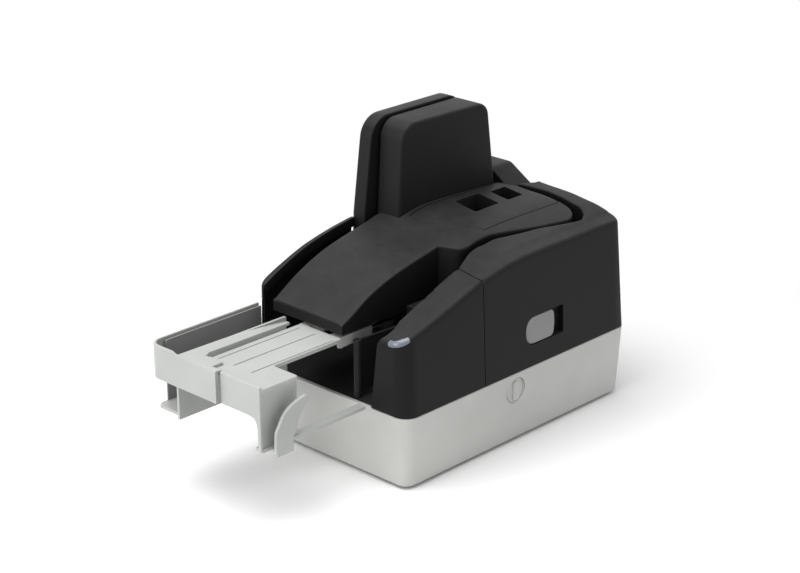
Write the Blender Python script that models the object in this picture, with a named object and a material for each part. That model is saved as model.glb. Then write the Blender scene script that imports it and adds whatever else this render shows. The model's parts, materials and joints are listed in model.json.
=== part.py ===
# Cheque scanner: a desk-top document reader with a feeder at the front right, a path that runs
# round a centre island, an upright scanning tower and a tray drawer that collects at the front left.
# Metres, +Z up. X runs to the right and Y to the rear, seen from the front of the machine.
# Every object hangs from one empty, which stands the machine on its feet over the world's origin.

import math

import bmesh
import bpy
from mathutils import Matrix, Vector

# Overall sizes
BODY_WIDTH = 0.1238
BODY_DEPTH = 0.1976
FRONT_SETBACK = 0.0017
PATH_OFFSET = 0.0014
BASE_HEIGHT = 0.0442
CROWN_HEIGHT = 0.128
TOWER_HEIGHT = 0.1815
TRAY_REACH = 0.085
BASE_INSET = 0.0028
SIDE_DRAFT = 0.0035
REAR_DRAFT = 0.0015
FRONT_DRAFT = 0.0006
FRONT_RIGHT_RADIUS = 0.0095
FRONT_LEFT_RADIUS = 0.0125
REAR_RADIUS = 0.0036
REAR_ROUNDING = 0.0056

# Clearances and overruns
GAP = 0.0003
SEAM = 0.0005
RUNNING_GAP = 0.0006
OVERRUN = 0.004

# Walls
BASE_WALL = 0.0025
COVER_WALL = 0.002
THIN_WALL = 0.0014

HALF_WIDTH = BODY_WIDTH / 2
LEFT_SIDE = PATH_OFFSET - HALF_WIDTH
RIGHT_SIDE = PATH_OFFSET + HALF_WIDTH
BODY_REAR = FRONT_SETBACK + BODY_DEPTH
COVER_LOW = BASE_HEIGHT + GAP

# Counts of sides for round pieces
FINE_SIDES = 24
ROUND_SIDES = 16
SMALL_SIDES = 10
CORNER_STEPS = 4
IDLER_SIDES = 12

# Sharp edges stay sharp past this angle in smooth shading
SMOOTH_ANGLE = math.radians(32)


def clear_scene():
    """Remove every object, so the script starts from nothing."""
    for thing in list(bpy.data.objects):
        bpy.data.objects.remove(thing, do_unlink=True)


def raw(bm):
    """Turn a bmesh into a plain object, faces pointing out."""
    bmesh.ops.recalc_face_normals(bm, faces=bm.faces)
    mesh = bpy.data.meshes.new("solid")
    bm.to_mesh(mesh)
    bm.free()
    thing = bpy.data.objects.new("solid", mesh)
    bpy.context.scene.collection.objects.link(thing)
    return thing


def loft(rings, tapered=False):
    """A closed solid through rings of points, all with the same count; tapered sides get flat facets."""
    bm = bmesh.new()
    rows = [[bm.verts.new(point) for point in ring] for ring in rings]
    for low, high in zip(rows, rows[1:]):
        for index in range(len(low)):
            after = (index + 1) % len(low)
            quad = (low[index], low[after], high[after], high[index])
            for corners in ((quad[:3], (quad[0],) + quad[2:]) if tapered else (quad,)):
                bm.faces.new(corners)
    bm.faces.new(list(reversed(rows[0])))
    bm.faces.new(rows[-1])
    return raw(bm)


def prism(outline, low, high):
    """A solid standing on a plan outline, from one height to another."""
    return loft([[(x, y, low) for x, y in outline], [(x, y, high) for x, y in outline]])


def side_prism(profile, left, right):
    """A solid with a (y, z) profile, from one x to another."""
    return loft([[(left, y, z) for y, z in profile], [(right, y, z) for y, z in profile]])


def front_prism(profile, front, rear):
    """A solid with an (x, z) profile, from one y to another."""
    return loft([[(x, front, z) for x, z in profile], [(x, rear, z) for x, z in profile]])


def box(low, high):
    """A block between its lowest and its highest corner."""
    outline = [(low[0], low[1]), (high[0], low[1]), (high[0], high[1]), (low[0], high[1])]
    return prism(outline, low[2], high[2])


def slab_box(centre, along, across, low, high, angle):
    """A block that stands turned about +Z, given by its plan centre."""
    turn = Matrix.Rotation(angle, 2)
    corners = [(-along / 2, -across / 2), (along / 2, -across / 2),
               (along / 2, across / 2), (-along / 2, across / 2)]
    outline = [tuple(Vector(centre) + turn @ Vector(corner)) for corner in corners]
    return prism(outline, low, high)


def circle(centre, radius, sides):
    """Points round a plan circle."""
    return [(centre[0] + radius * math.cos(2 * math.pi * step / sides),
             centre[1] + radius * math.sin(2 * math.pi * step / sides)) for step in range(sides)]


def rod(centre, radius, low, high, sides=ROUND_SIDES):
    """An upright round bar."""
    return prism(circle(centre, radius, sides), low, high)


def cross_rod(centre, radius, left, right, sides=ROUND_SIDES):
    """A round bar along X, whose centre is a (y, z) point."""
    return side_prism(circle(centre, radius, sides), left, right)


def long_rod(centre, radius, front, rear, sides=ROUND_SIDES):
    """A round bar along Y, whose centre is an (x, z) point."""
    return front_prism(circle(centre, radius, sides), front, rear)


def sleeve(centre, outer, bore, low, high, sides=ROUND_SIDES):
    """An upright tube, closed round its bore."""
    bm = bmesh.new()
    rings = []
    for radius, height in ((bore, low), (outer, low), (outer, high), (bore, high)):
        rings.append([bm.verts.new((x, y, height)) for x, y in circle(centre, radius, sides)])
    for first, second in zip(rings, rings[1:] + rings[:1]):
        for index in range(sides):
            after = (index + 1) % sides
            bm.faces.new((first[index], first[after], second[after], second[index]))
    return raw(bm)


def wheel(centre, stations, bore=None, sides=ROUND_SIDES):
    """A turned solid on an upright axis, from (radius, height) stations, with a bore if given."""
    solid = loft([[(x, y, height) for x, y in circle(centre, radius, sides)]
                  for radius, height in stations])
    if bore:
        low, high = stations[0][1], stations[-1][1]
        cut(solid, rod(centre, bore, low - OVERRUN, high + OVERRUN, sides))
    return solid


def combine(target, tool, kind):
    """Apply one boolean step to the target and delete the tool."""
    step = target.modifiers.new(kind, "BOOLEAN")
    step.operation = kind
    step.solver = "EXACT"
    step.object = tool
    bpy.context.view_layer.update()
    depsgraph = bpy.context.evaluated_depsgraph_get()
    mesh = bpy.data.meshes.new_from_object(target.evaluated_get(depsgraph))
    target.modifiers.clear()
    target.data = mesh
    bpy.data.objects.remove(tool, do_unlink=True)
    return target


def cut(target, *tools):
    """Take each tool out of the target."""
    for tool in tools:
        combine(target, tool, "DIFFERENCE")
    return target


def join(target, *tools):
    """Fuse each tool with the target."""
    for tool in tools:
        combine(target, tool, "UNION")
    return target


def common(target, *tools):
    """Keep what the target shares with each tool."""
    for tool in tools:
        combine(target, tool, "INTERSECT")
    return target


def inset(outline, amount):
    """Move a counter-clockwise plan outline inwards by the same amount everywhere."""
    moved = []
    count = len(outline)
    for index in range(count):
        before = Vector(outline[index - 1])
        here = Vector(outline[index])
        after = Vector(outline[(index + 1) % count])
        first = (here - before).normalized()
        second = (after - here).normalized()
        first_normal = Vector((-first.y, first.x))
        second_normal = Vector((-second.y, second.x))
        mitre = first_normal + second_normal
        share = amount * 2 / max(mitre.length_squared, 1)
        moved.append(tuple(here + mitre * share))
    return moved


def rounded_outline(left, right, front, rear, radii):
    """A counter-clockwise plan rectangle; radii are front left, front right, rear right, rear left."""
    corners = [(left, front, 1, 1), (right, front, -1, 1), (right, rear, -1, -1), (left, rear, 1, -1)]
    points = []
    for (x, y, side, end), radius, start in zip(corners, radii, (180, 270, 0, 90)):
        centre = (x + side * radius, y + end * radius)
        for step in range(CORNER_STEPS + 1):
            angle = math.radians(start + 90 * step / CORNER_STEPS)
            points.append((centre[0] + radius * math.cos(angle), centre[1] + radius * math.sin(angle)))
    return points


def body_outline(inward=0, lean=0):
    """The machine's plan outline, moved inwards; a lean of 1 gives its waist at the crown."""
    rear_radius = REAR_RADIUS + REAR_ROUNDING * lean
    radii = [max(radius - inward, REAR_RADIUS / 2) for radius in
             (FRONT_LEFT_RADIUS, FRONT_RIGHT_RADIUS, rear_radius, rear_radius)]
    side = inward + SIDE_DRAFT * lean
    return rounded_outline(LEFT_SIDE + side, RIGHT_SIDE - side, FRONT_SETBACK + inward + FRONT_DRAFT * lean,
                           BODY_REAR - inward - REAR_DRAFT * lean, radii)


def body_block(inward=0, low=COVER_LOW):
    """The tapering block that all covers are cut from, up past the tower."""
    top = TOWER_HEIGHT + OVERRUN
    wide = body_outline(inward)
    narrow = body_outline(inward, 1)
    rings = [[(x, y, low) for x, y in wide]]
    if low < COVER_LOW:
        rings.append([(x, y, COVER_LOW) for x, y in wide])
    rings.append([(x, y, CROWN_HEIGHT) for x, y in narrow])
    rings.append([(x, y, top) for x, y in narrow])
    return loft(rings, tapered=True)


# Height of the crown as shares of CROWN_HEIGHT, by plan places as shares of HALF_WIDTH and BODY_DEPTH
CROWN_ACROSS_SHARES = (-1.074, -0.921, -0.679, -0.162, 0.307, 0.646, 0.969, 1.099)
CROWN_ROW_SHARES = (
    (-0.030, (0.727, 0.734, 0.719, 0.715, 0.711, 0.695, 0.707, 0.700)),
    (0.000, (0.727, 0.734, 0.719, 0.715, 0.711, 0.695, 0.707, 0.700)),
    (0.025, (0.750, 0.758, 0.742, 0.734, 0.727, 0.703, 0.716, 0.710)),
    (0.101, (0.805, 0.813, 0.809, 0.801, 0.793, 0.738, 0.748, 0.742)),
    (0.202, (0.860, 0.870, 0.871, 0.863, 0.848, 0.793, 0.793, 0.785)),
    (0.354, (0.905, 0.918, 0.926, 0.919, 0.898, 0.867, 0.862, 0.850)),
    (0.557, (0.920, 0.930, 0.985, 0.980, 0.949, 0.914, 0.899, 0.880)),
    (0.759, (0.920, 0.930, 1.000, 0.984, 0.957, 0.930, 0.900, 0.880)),
    (1.022, (0.920, 0.930, 0.992, 0.980, 0.965, 0.949, 0.905, 0.885)),
)


def crown_block(low, drop=0):
    """A block whose top is the crown, lowered by a wall where it cuts a cavity."""
    bm = bmesh.new()
    top, bottom = [], []
    for depth_share, heights in CROWN_ROW_SHARES:
        y = depth_share * BODY_DEPTH
        places = [(share * HALF_WIDTH, height) for share, height in zip(CROWN_ACROSS_SHARES, heights)]
        top.append([bm.verts.new((x, y, height * CROWN_HEIGHT - drop)) for x, height in places])
        bottom.append([bm.verts.new((x, y, low)) for x, height in places])
    rows, columns = len(top), len(top[0])
    for row in range(rows - 1):
        for column in range(columns - 1):
            quad = [(row, column), (row, column + 1), (row + 1, column + 1), (row + 1, column)]
            first, second, third, fourth = [top[r][c] for r, c in quad]
            bm.faces.new((first, second, third))
            bm.faces.new((first, third, fourth))
            bm.faces.new([bottom[r][c] for r, c in reversed(quad)])
    edge = [(0, c) for c in range(columns)] + [(r, columns - 1) for r in range(1, rows)]
    edge += [(rows - 1, c) for c in range(columns - 2, -1, -1)] + [(r, 0) for r in range(rows - 2, 0, -1)]
    for (r, c), (next_r, next_c) in zip(edge, edge[1:] + edge[:1]):
        bm.faces.new((bottom[r][c], bottom[next_r][next_c], top[next_r][next_c], top[r][c]))
    return raw(bm)


def placed(shares):
    """Plan points from shares of HALF_WIDTH and BODY_DEPTH."""
    return [(x * HALF_WIDTH, y * BODY_DEPTH) for x, y in shares]


# Finishes: colour, roughness, metallic
BLACK_PLASTIC = ((0.030, 0.030, 0.032), 0.50, 0.0)
BASE_PLASTIC = ((0.46, 0.46, 0.44), 0.42, 0.0)
TRAY_PLASTIC = ((0.58, 0.59, 0.58), 0.40, 0.0)
GREY_PLASTIC = ((0.35, 0.35, 0.35), 0.45, 0.0)
DARK_PLASTIC = ((0.015, 0.015, 0.016), 0.60, 0.0)
RUBBER = ((0.02, 0.02, 0.02), 0.85, 0.0)
STEEL = ((0.60, 0.60, 0.62), 0.30, 1.0)
BRASS = ((0.75, 0.58, 0.28), 0.35, 1.0)
GLASS = ((0.80, 0.88, 0.90), 0.05, 0.0)
BOARD_GREEN = ((0.02, 0.16, 0.07), 0.45, 0.0)
LIGHT_PLASTIC = ((0.45, 0.48, 0.56), 0.25, 0.0)


def node(name, thing, finish, pivot=(0, 0, 0)):
    """Name a finished piece, give it its own material and hang it from the frame empty."""
    colour, roughness, metallic = finish
    material = bpy.data.materials.new(name + "_finish")
    material.use_nodes = True
    shader = material.node_tree.nodes["Principled BSDF"]
    shader.inputs["Base Color"].default_value = (*colour, 1)
    shader.inputs["Roughness"].default_value = roughness
    shader.inputs["Metallic"].default_value = metallic
    thing.data.materials.clear()
    thing.data.materials.append(material)
    thing.data.transform(Matrix.Translation(-Vector(pivot)))
    thing.data.shade_smooth()
    thing.data.set_sharp_from_angle(angle=SMOOTH_ANGLE)
    thing.name = name
    thing.data.name = name
    thing.parent = FRAME
    thing.location = pivot
    return thing


# Base: tub, bed, bottom plate, feet and screws
BED_THICKNESS = 0.0034
BED_TOP = BASE_HEIGHT - GAP
BED_LOW = BED_TOP - BED_THICKNESS
PLATE_THICKNESS = 0.002
TUB_ROUND = 0.0012
FOOT_RADIUS = 0.006
FOOT_HEIGHT = 0.0015
FOOT_SIDE = 0.045
FOOT_END = 0.032
SCREW_RADIUS = 0.0015
SCREW_HEAD_RADIUS = 0.0028
SCREW_HEAD_HEIGHT = 0.0009
SCREW_LENGTH = 0.010
SCREW_INSET = 0.0088
SCREW_END = 0.020
BOSS_RADIUS = 0.0040
BOSS_HEIGHT = 0.022
FLOOR_DROP = FOOT_HEIGHT + GAP

# Sockets and switch in the rear of the base
BOARD_LOW = 0.008
BOARD_THICKNESS = 0.0016
BOARD_SIDE = 0.045
BOARD_FRONT = 0.106
BOARD_REAR = 0.188
STANDOFF_RADIUS = 0.003
SOCKET_LOW = BOARD_LOW + BOARD_THICKNESS + GAP
SOCKET_SETBACK = 0.0025
SOCKET_DEPTH = 0.016
SOCKET_REAR = BODY_REAR - SOCKET_SETBACK
SOCKET_FRONT = SOCKET_REAR - SOCKET_DEPTH
SWITCH_PLACE = 0.034
SWITCH_WIDTH = 0.015
SWITCH_HEIGHT = 0.016
SWITCH_DEPTH = 0.0115
SWITCH_RIM = 0.0019
ROCKER_REST = math.radians(7)
ROCKER_ARM = 0.0046
ROCKER_HALF_HEIGHT = 0.0050
ROCKER_WAIST = 0.0036
INLET_PLACE = -0.038
INLET_WIDTH = 0.010
INLET_HEIGHT = 0.011
INLET_BORE = 0.0031
INLET_PIN = 0.001
USB_PLACE = -0.012
USB_WIDTH = 0.012
USB_HEIGHT = 0.011
USB_WALL = 0.0016
USB_TONGUE = 0.0028
SOCKET_FLOOR = 0.005
REAR_SLOT = 0.012

# Knob and cam in the right wall of the base
KNOB_Y = 0.0967
KNOB_Z = 0.0328
KNOB_RADIUS = 0.00775
KNOB_THICKNESS = 0.0014
KNOB_GRIP_WIDTH = 0.005
KNOB_GRIP_HEIGHT = 0.0125
KNOB_SHAFT_RADIUS = 0.0025
CAM_THICKNESS = 0.0032
CAM_REACH = 0.0070


def screw_places():
    """Plan places near the four corners of the base."""
    sides = (LEFT_SIDE + SCREW_INSET, RIGHT_SIDE - SCREW_INSET)
    return [(x, y) for y in (SCREW_END, BODY_DEPTH - SCREW_END) for x in sides]


def wall_face(height):
    """Where the base's right face stands at a height."""
    return RIGHT_SIDE - BASE_INSET * (1 - height / BASE_HEIGHT)


def make_base_tub():
    stations = ((BASE_INSET + TUB_ROUND, 0), (BASE_INSET, TUB_ROUND), (0, BASE_HEIGHT))
    tub = loft([[(x, y, height) for x, y in body_outline(inward)] for inward, height in stations],
               tapered=True)
    cavity = body_outline(BASE_INSET + BASE_WALL)
    shelf = body_outline(BASE_WALL)
    cut(tub, prism(cavity, -OVERRUN, BASE_HEIGHT + OVERRUN))
    cut(tub, prism(shelf, BED_LOW - GAP, BASE_HEIGHT + OVERRUN))
    for x, y in screw_places():
        join(tub, rod((x, y), BOSS_RADIUS, PLATE_THICKNESS + GAP, BOSS_HEIGHT))
        cut(tub, rod((x, y), SCREW_RADIUS + GAP, -OVERRUN, BOSS_HEIGHT + OVERRUN, SMALL_SIDES))
    for left, width, height in socket_places():
        cut(tub, box((left - GAP, SOCKET_REAR - REAR_SLOT, SOCKET_LOW - GAP),
                     (left + width + GAP, BODY_REAR + OVERRUN, SOCKET_LOW + height + GAP)))
    face = wall_face(KNOB_Z)
    cut(tub, cross_rod((KNOB_Y, KNOB_Z), KNOB_RADIUS + SEAM, face - KNOB_THICKNESS,
                       RIGHT_SIDE + OVERRUN, FINE_SIDES))
    cut(tub, cross_rod((KNOB_Y, KNOB_Z), KNOB_SHAFT_RADIUS + GAP, face - REAR_SLOT, RIGHT_SIDE + OVERRUN))
    return node("base_tub", tub, BASE_PLASTIC)


def socket_places():
    """Left edge, width and height of each socket in the rear wall."""
    return ((SWITCH_PLACE, SWITCH_WIDTH, SWITCH_HEIGHT), (INLET_PLACE, INLET_WIDTH, INLET_HEIGHT),
            (USB_PLACE, USB_WIDTH, USB_HEIGHT))


def make_bottom_plate():
    outline = body_outline(BASE_INSET + BASE_WALL + GAP)
    plate = prism(outline, 0, PLATE_THICKNESS)
    for x, y in screw_places():
        cut(plate, rod((x, y), SCREW_RADIUS + GAP, -OVERRUN, PLATE_THICKNESS + OVERRUN, SMALL_SIDES))
    for x in (-BOARD_SIDE + BOSS_RADIUS, BOARD_SIDE - BOSS_RADIUS):
        for y in (BOARD_FRONT + BOSS_RADIUS, BOARD_REAR - BOSS_RADIUS * 4):
            join(plate, rod((x, y), STANDOFF_RADIUS, PLATE_THICKNESS / 2, BOARD_LOW - GAP, SMALL_SIDES))
    return node("bottom_plate", plate, BLACK_PLASTIC)


def make_feet_and_screws():
    for name, end in (("front_foot", FOOT_END), ("rear_foot", BODY_DEPTH - FOOT_END)):
        outline = rounded_outline(-FOOT_SIDE, FOOT_SIDE, end - FOOT_RADIUS, end + FOOT_RADIUS,
                                  (FOOT_RADIUS,) * 4)
        node(name, prism(outline, -FLOOR_DROP, -GAP), RUBBER)
    for index, place in enumerate(screw_places()):
        screw = wheel(place, ((SCREW_HEAD_RADIUS, -GAP - SCREW_HEAD_HEIGHT), (SCREW_HEAD_RADIUS, -GAP),
                              (SCREW_RADIUS, -GAP), (SCREW_RADIUS, SCREW_LENGTH)), sides=SMALL_SIDES)
        node("housing_screw_" + str(index + 1), screw, STEEL)


def make_bed(holes):
    """The floor of the document path, with a bearing hole for each shaft that comes up through it."""
    bed = prism(body_outline(BASE_WALL + GAP), BED_LOW, BED_TOP)
    for place in holes:
        cut(bed, rod(place, DRIVE_SHAFT_RADIUS + GAP, BED_LOW - OVERRUN, BED_TOP + OVERRUN, SMALL_SIDES))
    pin = wheel((FLAP_X, FLAP_Y), ((FLAP_HUB_RADIUS, BED_LOW + SEAM), (FLAP_HUB_RADIUS, FLAP_LOW - GAP),
                                   (FLAP_PIN_RADIUS, FLAP_LOW - GAP), (FLAP_PIN_RADIUS, FLAP_HIGH)),
                sides=SMALL_SIDES)
    join(bed, pin)
    return node("transport_bed", bed, DARK_PLASTIC)


def make_board_and_sockets():
    board = box((-BOARD_SIDE, BOARD_FRONT, BOARD_LOW), (BOARD_SIDE, BOARD_REAR, BOARD_LOW + BOARD_THICKNESS))
    node("main_board", board, BOARD_GREEN)
    middle = INLET_PLACE + INLET_WIDTH / 2, SOCKET_LOW + INLET_HEIGHT / 2
    inlet = box((INLET_PLACE, SOCKET_FRONT, SOCKET_LOW),
                (INLET_PLACE + INLET_WIDTH, SOCKET_REAR, SOCKET_LOW + INLET_HEIGHT))
    cut(inlet, long_rod(middle, INLET_BORE, SOCKET_FRONT + SOCKET_FLOOR, BODY_REAR))
    join(inlet, long_rod(middle, INLET_PIN, SOCKET_FRONT + SOCKET_FLOOR / 2,
                         SOCKET_REAR - INLET_PIN, SMALL_SIDES))
    node("dc_inlet", inlet, DARK_PLASTIC)
    usb = box((USB_PLACE, SOCKET_FRONT, SOCKET_LOW),
              (USB_PLACE + USB_WIDTH, SOCKET_REAR, SOCKET_LOW + USB_HEIGHT))
    cut(usb, box((USB_PLACE + USB_WALL, SOCKET_FRONT + SOCKET_FLOOR, SOCKET_LOW + USB_WALL),
                 (USB_PLACE + USB_WIDTH - USB_WALL, BODY_REAR, SOCKET_LOW + USB_HEIGHT - USB_WALL)))
    centre = USB_PLACE + USB_WIDTH / 2
    height = SOCKET_LOW + USB_HEIGHT / 2
    join(usb, box((centre - USB_TONGUE, SOCKET_FRONT + SOCKET_FLOOR / 2, height - USB_TONGUE / 2),
                  (centre + USB_TONGUE, SOCKET_REAR - USB_WALL, height + USB_TONGUE / 2)))
    node("usb_socket", usb, STEEL)


def make_power_switch():
    low = (SWITCH_PLACE, SOCKET_REAR + SEAM - SWITCH_DEPTH, SOCKET_LOW)
    high = (SWITCH_PLACE + SWITCH_WIDTH, SOCKET_REAR + SEAM, SOCKET_LOW + SWITCH_HEIGHT)
    frame = box(low, high)
    cut(frame, box((low[0] + SWITCH_RIM, low[1] + SWITCH_RIM, low[2] + SWITCH_RIM),
                   (high[0] - SWITCH_RIM, BODY_REAR, high[2] - SWITCH_RIM)))
    node("switch_frame", frame, DARK_PLASTIC)
    pivot_y = high[1] - ROCKER_HALF_HEIGHT - SEAM
    pivot_z = (low[2] + high[2]) / 2
    back, tall = -ROCKER_ARM / 2, ROCKER_HALF_HEIGHT
    outline = ((back, -tall), (ROCKER_ARM, -tall), (ROCKER_WAIST, 0), (ROCKER_ARM, tall), (back, tall))
    profile = []
    for y, z in outline:
        turned_y = y * math.cos(ROCKER_REST) + z * math.sin(ROCKER_REST)
        turned_z = z * math.cos(ROCKER_REST) - y * math.sin(ROCKER_REST)
        profile.append((pivot_y + turned_y, pivot_z + turned_z))
    rocker = side_prism(profile, low[0] + SWITCH_RIM + GAP, high[0] - SWITCH_RIM - GAP)
    node("power_switch", rocker, BLACK_PLASTIC, (SWITCH_PLACE + SWITCH_WIDTH / 2, pivot_y, pivot_z))


def make_knob():
    face = wall_face(KNOB_Z)
    floor = face - KNOB_THICKNESS + GAP
    knob = cross_rod((KNOB_Y, KNOB_Z), KNOB_RADIUS, floor, face, FINE_SIDES)
    half = KNOB_GRIP_WIDTH / 2
    grip = box((floor, KNOB_Y - half, KNOB_Z - KNOB_GRIP_HEIGHT / 2),
               (RIGHT_SIDE, KNOB_Y + half, KNOB_Z + KNOB_GRIP_HEIGHT / 2 - half))
    join(grip, cross_rod((KNOB_Y, KNOB_Z + KNOB_GRIP_HEIGHT / 2 - half), half, floor, RIGHT_SIDE))
    inner_face = RIGHT_SIDE - BASE_INSET - BASE_WALL
    shaft = cross_rod((KNOB_Y, KNOB_Z), KNOB_SHAFT_RADIUS, inner_face - GAP * 2 - CAM_THICKNESS, face)
    lobe = box((inner_face - GAP - CAM_THICKNESS, KNOB_Y, KNOB_Z - KNOB_SHAFT_RADIUS),
               (inner_face - GAP, KNOB_Y + CAM_REACH, KNOB_Z + KNOB_SHAFT_RADIUS))
    join(knob, grip, shaft, lobe)
    node("lock_knob", knob, GREY_PLASTIC, (face, KNOB_Y, KNOB_Z))


# Plan edges of the document path and the covers, as shares of HALF_WIDTH and BODY_DEPTH
NOSE_EDGE_SHARES = ((0.5703, -0.0304), (0.5703, 0.0086), (0.6010, 0.0329), (0.6365, 0.0633),
                    (0.6624, 0.0962), (0.6462, 0.1923), (0.6220, 0.3543))
NOSE_SHOULDER_SHARES = ((0.5650, 0.4700), (0.5850, 0.5470), (0.6060, 0.5990), (0.6460, 0.6480),
                        (0.6870, 0.6880), (0.7430, 0.7230), (0.8000, 0.7450))
NOSE_SHOULDER_REAR = 0.019
ISLAND_FRONT_SHARE = -0.0079
ISLAND_LEFT_SHARE = -0.6734
THROAT_SHARE = 0.2522
NOTCH_SHARES = ((0.2522, 0.3997), (0.2698, 0.4037), (0.4154, 0.4285), (0.4652, 0.4622))
INNER_PATH_SHARES = ((0.4555, 0.4999), (0.4603, 0.5535), (0.4799, 0.5813), (0.5424, 0.6467),
                     (0.6236, 0.7310), (0.6900, 0.8144), (0.7008, 0.8441), (0.6578, 0.8739),
                     (0.5767, 0.8957), (0.4799, 0.9066), (0.1955, 0.9116), (0.0293, 0.9086),
                     (-0.1339, 0.9026), (-0.2023, 0.8917))
OUTER_PATH_SHARES = ((0.6265, 0.3660), (0.5327, 0.4404), (0.5239, 0.4761), (0.5327, 0.5495),
                     (0.5610, 0.5872), (0.6109, 0.6428), (0.6783, 0.7241), (0.7213, 0.7697),
                     (0.7721, 0.8600), (0.7369, 0.8947), (0.6851, 0.9135), (0.5864, 0.9324),
                     (0.4330, 0.9373), (0.1114, 0.9433), (-0.0440, 0.9344), (-0.1710, 0.9155))
CARTRIDGE_SEAM_SHARES = ((-0.3225, 0.4662), (-0.1388, 0.4702), (0.1163, 0.5207), (0.2776, 0.5495),
                         (0.3714, 0.5644), (0.3685, 0.6556), (0.3792, 0.7777), (0.4066, 0.9036))

# Tower and seams along the body
NOSE_SEAM_Y = 0.0690
TOWER_FRONT_Y = 0.079
TOWER_REAR_Y = 0.1763
SLOT_PLACE = -0.0448
SLOT_WIDTH = 0.0022
HINGE_X = -0.006
HINGE_Y = 0.1925
KNUCKLE_RADIUS = 0.0045
HINGE_PIN_RADIUS = 0.0016
HINGE_PIN_HIGH = 0.1160
LEFT_STRIP = 0.0092
ISLAND_LOW = 0.0845
TOWER_WALL = 0.0018
SLAB_RIGHT_FRONT = -0.0250
SLAB_RIGHT_REAR = -0.0208
SLAB_FRONT_Y = 0.088
SLAB_REAR_Y = 0.1712

# Side profiles of the two slabs as shares of BODY_DEPTH and TOWER_HEIGHT
OUTER_SLAB_SHARES = ((0.4008, 0.6700), (0.4295, 0.9140), (0.4454, 0.9530), (0.4632, 0.9800),
                     (0.5009, 1.0000), (0.7846, 0.9990), (0.8153, 0.9820), (0.8372, 0.9420),
                     (0.8689, 0.6850), (0.8912, 0.6600))
INNER_SLAB_SHARES = ((0.4439, 0.2400), (0.4439, 0.6590), (0.4573, 0.8830), (0.4692, 0.9580),
                     (0.4870, 0.9850), (0.5138, 0.9940), (0.7965, 0.9940), (0.8173, 0.9650),
                     (0.8391, 0.9260), (0.8590, 0.7850), (0.8669, 0.6830), (0.8669, 0.2400))

# Finger windows in the cartridge cover
WINDOW_LEFT = -0.014
WINDOW_RIGHT = 0.003
WINDOW_FRONT_Y = 0.126
WINDOW_BRIDGE_Y = 0.1475
WINDOW_BRIDGE = 0.0085
WINDOW_REAR_Y = 0.170
WINDOW_RADIUS = 0.003
COVER_HINGE_Y = 0.0915
COVER_HINGE_Z = 0.1225

# Rear fairing, as shares of HALF_WIDTH and TOWER_HEIGHT
FAIRING_SHARES = ((-0.2023, 0.0000), (-0.2023, 0.6744), (-0.2150, 0.6832), (-0.4608, 0.7262),
                  (-0.5093, 0.7317), (-0.5820, 0.7339), (-0.7761, 0.7306), (-0.8488, 0.7240),
                  (-0.9135, 0.7052), (-1.0263, 0.6529), (-1.0263, 0.0000))
FAIRING_EDGE = -0.0125
FAIRING_FRONT_Y = 0.1768


def inner_path():
    return placed(INNER_PATH_SHARES)


def outer_path():
    return placed(OUTER_PATH_SHARES)


def shell(outline, low, clear=None):
    """A cover: the body over a plan outline under the crown, hollow and open below."""
    solid = common(body_block(0, low), crown_block(low - OVERRUN), prism(outline, low, CROWN_HEIGHT * 2))
    hollow_low = low - OVERRUN
    hollow = common(body_block(COVER_WALL, hollow_low), crown_block(hollow_low - OVERRUN, COVER_WALL),
                    prism(inset(outline, COVER_WALL), hollow_low - OVERRUN, CROWN_HEIGHT * 2))
    if clear:
        cut(solid, clear())
        cut(hollow, clear(COVER_WALL))
    return cut(solid, hollow)


def nose_outline():
    right, front = RIGHT_SIDE + OVERRUN * 2, -OVERRUN * 2
    edge = placed(NOSE_EDGE_SHARES)
    rear = NOSE_SEAM_Y - SEAM
    edge[-1] = (edge[-1][0], rear)
    return [(edge[0][0], front), (right, front), (right, rear)] + list(reversed(edge[1:]))


def nose_shoulder(shift=0):
    """What is cleared above the rounded shoulder at the nose's front left corner."""
    curve = [(x * HALF_WIDTH + shift, z * CROWN_HEIGHT - shift) for x, z in NOSE_SHOULDER_SHARES]
    left, right = curve[0][0] - OVERRUN * 2, curve[-1][0]
    corners = [(right, CROWN_HEIGHT), (left, CROWN_HEIGHT), (left, curve[0][1])]
    return front_prism(curve + corners, -OVERRUN * 2, NOSE_SHOULDER_REAR)


def make_nose_cover(windows):
    nose = shell(nose_outline(), COVER_LOW, clear=nose_shoulder)
    cut(nose, *windows)
    return node("nose_cover", nose, BLACK_PLASTIC)


STATUS_LIGHT_HEIGHT = 0.0038
STATUS_LIGHT_LOW = 0.0855
STATUS_LIGHT_LEFT = 0.0495
STATUS_LIGHT_REAR = 0.0095
STATUS_LIGHT_DEPTH = 0.0032


def status_light_block(grow):
    """The curved band at the front right corner that the light fills."""
    top = STATUS_LIGHT_LOW + STATUS_LIGHT_HEIGHT + grow
    left, right = STATUS_LIGHT_LEFT - grow, RIGHT_SIDE + OVERRUN
    rear = STATUS_LIGHT_REAR + grow
    outline = [(left, -OVERRUN * 2), (right, -OVERRUN * 2), (right, rear), (left, rear)]
    band = common(body_block(0), prism(outline, STATUS_LIGHT_LOW - grow, top))
    return cut(band, body_block(STATUS_LIGHT_DEPTH + grow))


def access_outline():
    """The right and rear cover: outside the path, from the nose seam to the hinge."""
    right, rear = RIGHT_SIDE + OVERRUN * 2, BODY_REAR + OVERRUN * 2
    edge = outer_path()
    front = NOSE_SEAM_Y + SEAM
    edge[0] = (edge[0][0], front)
    return [(edge[0][0], front), (right, front), (right, rear), (HINGE_X, rear), (HINGE_X, HINGE_Y),
            ] + list(reversed(edge[1:]))


BUTTON_FRONT = 0.1059
BUTTON_REAR = 0.1318
BUTTON_TRAVEL = 0.006
BUTTON_LOW = 0.0581
BUTTON_HIGH = 0.0753
RECESS_DEPTH = 0.0040
BUTTON_REST_GAP = 0.0004
BUTTON_STEM = 0.0030
BUTTON_ROUNDNESS_SHARE = 0.8
BUTTON_STEPS = 8


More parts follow.
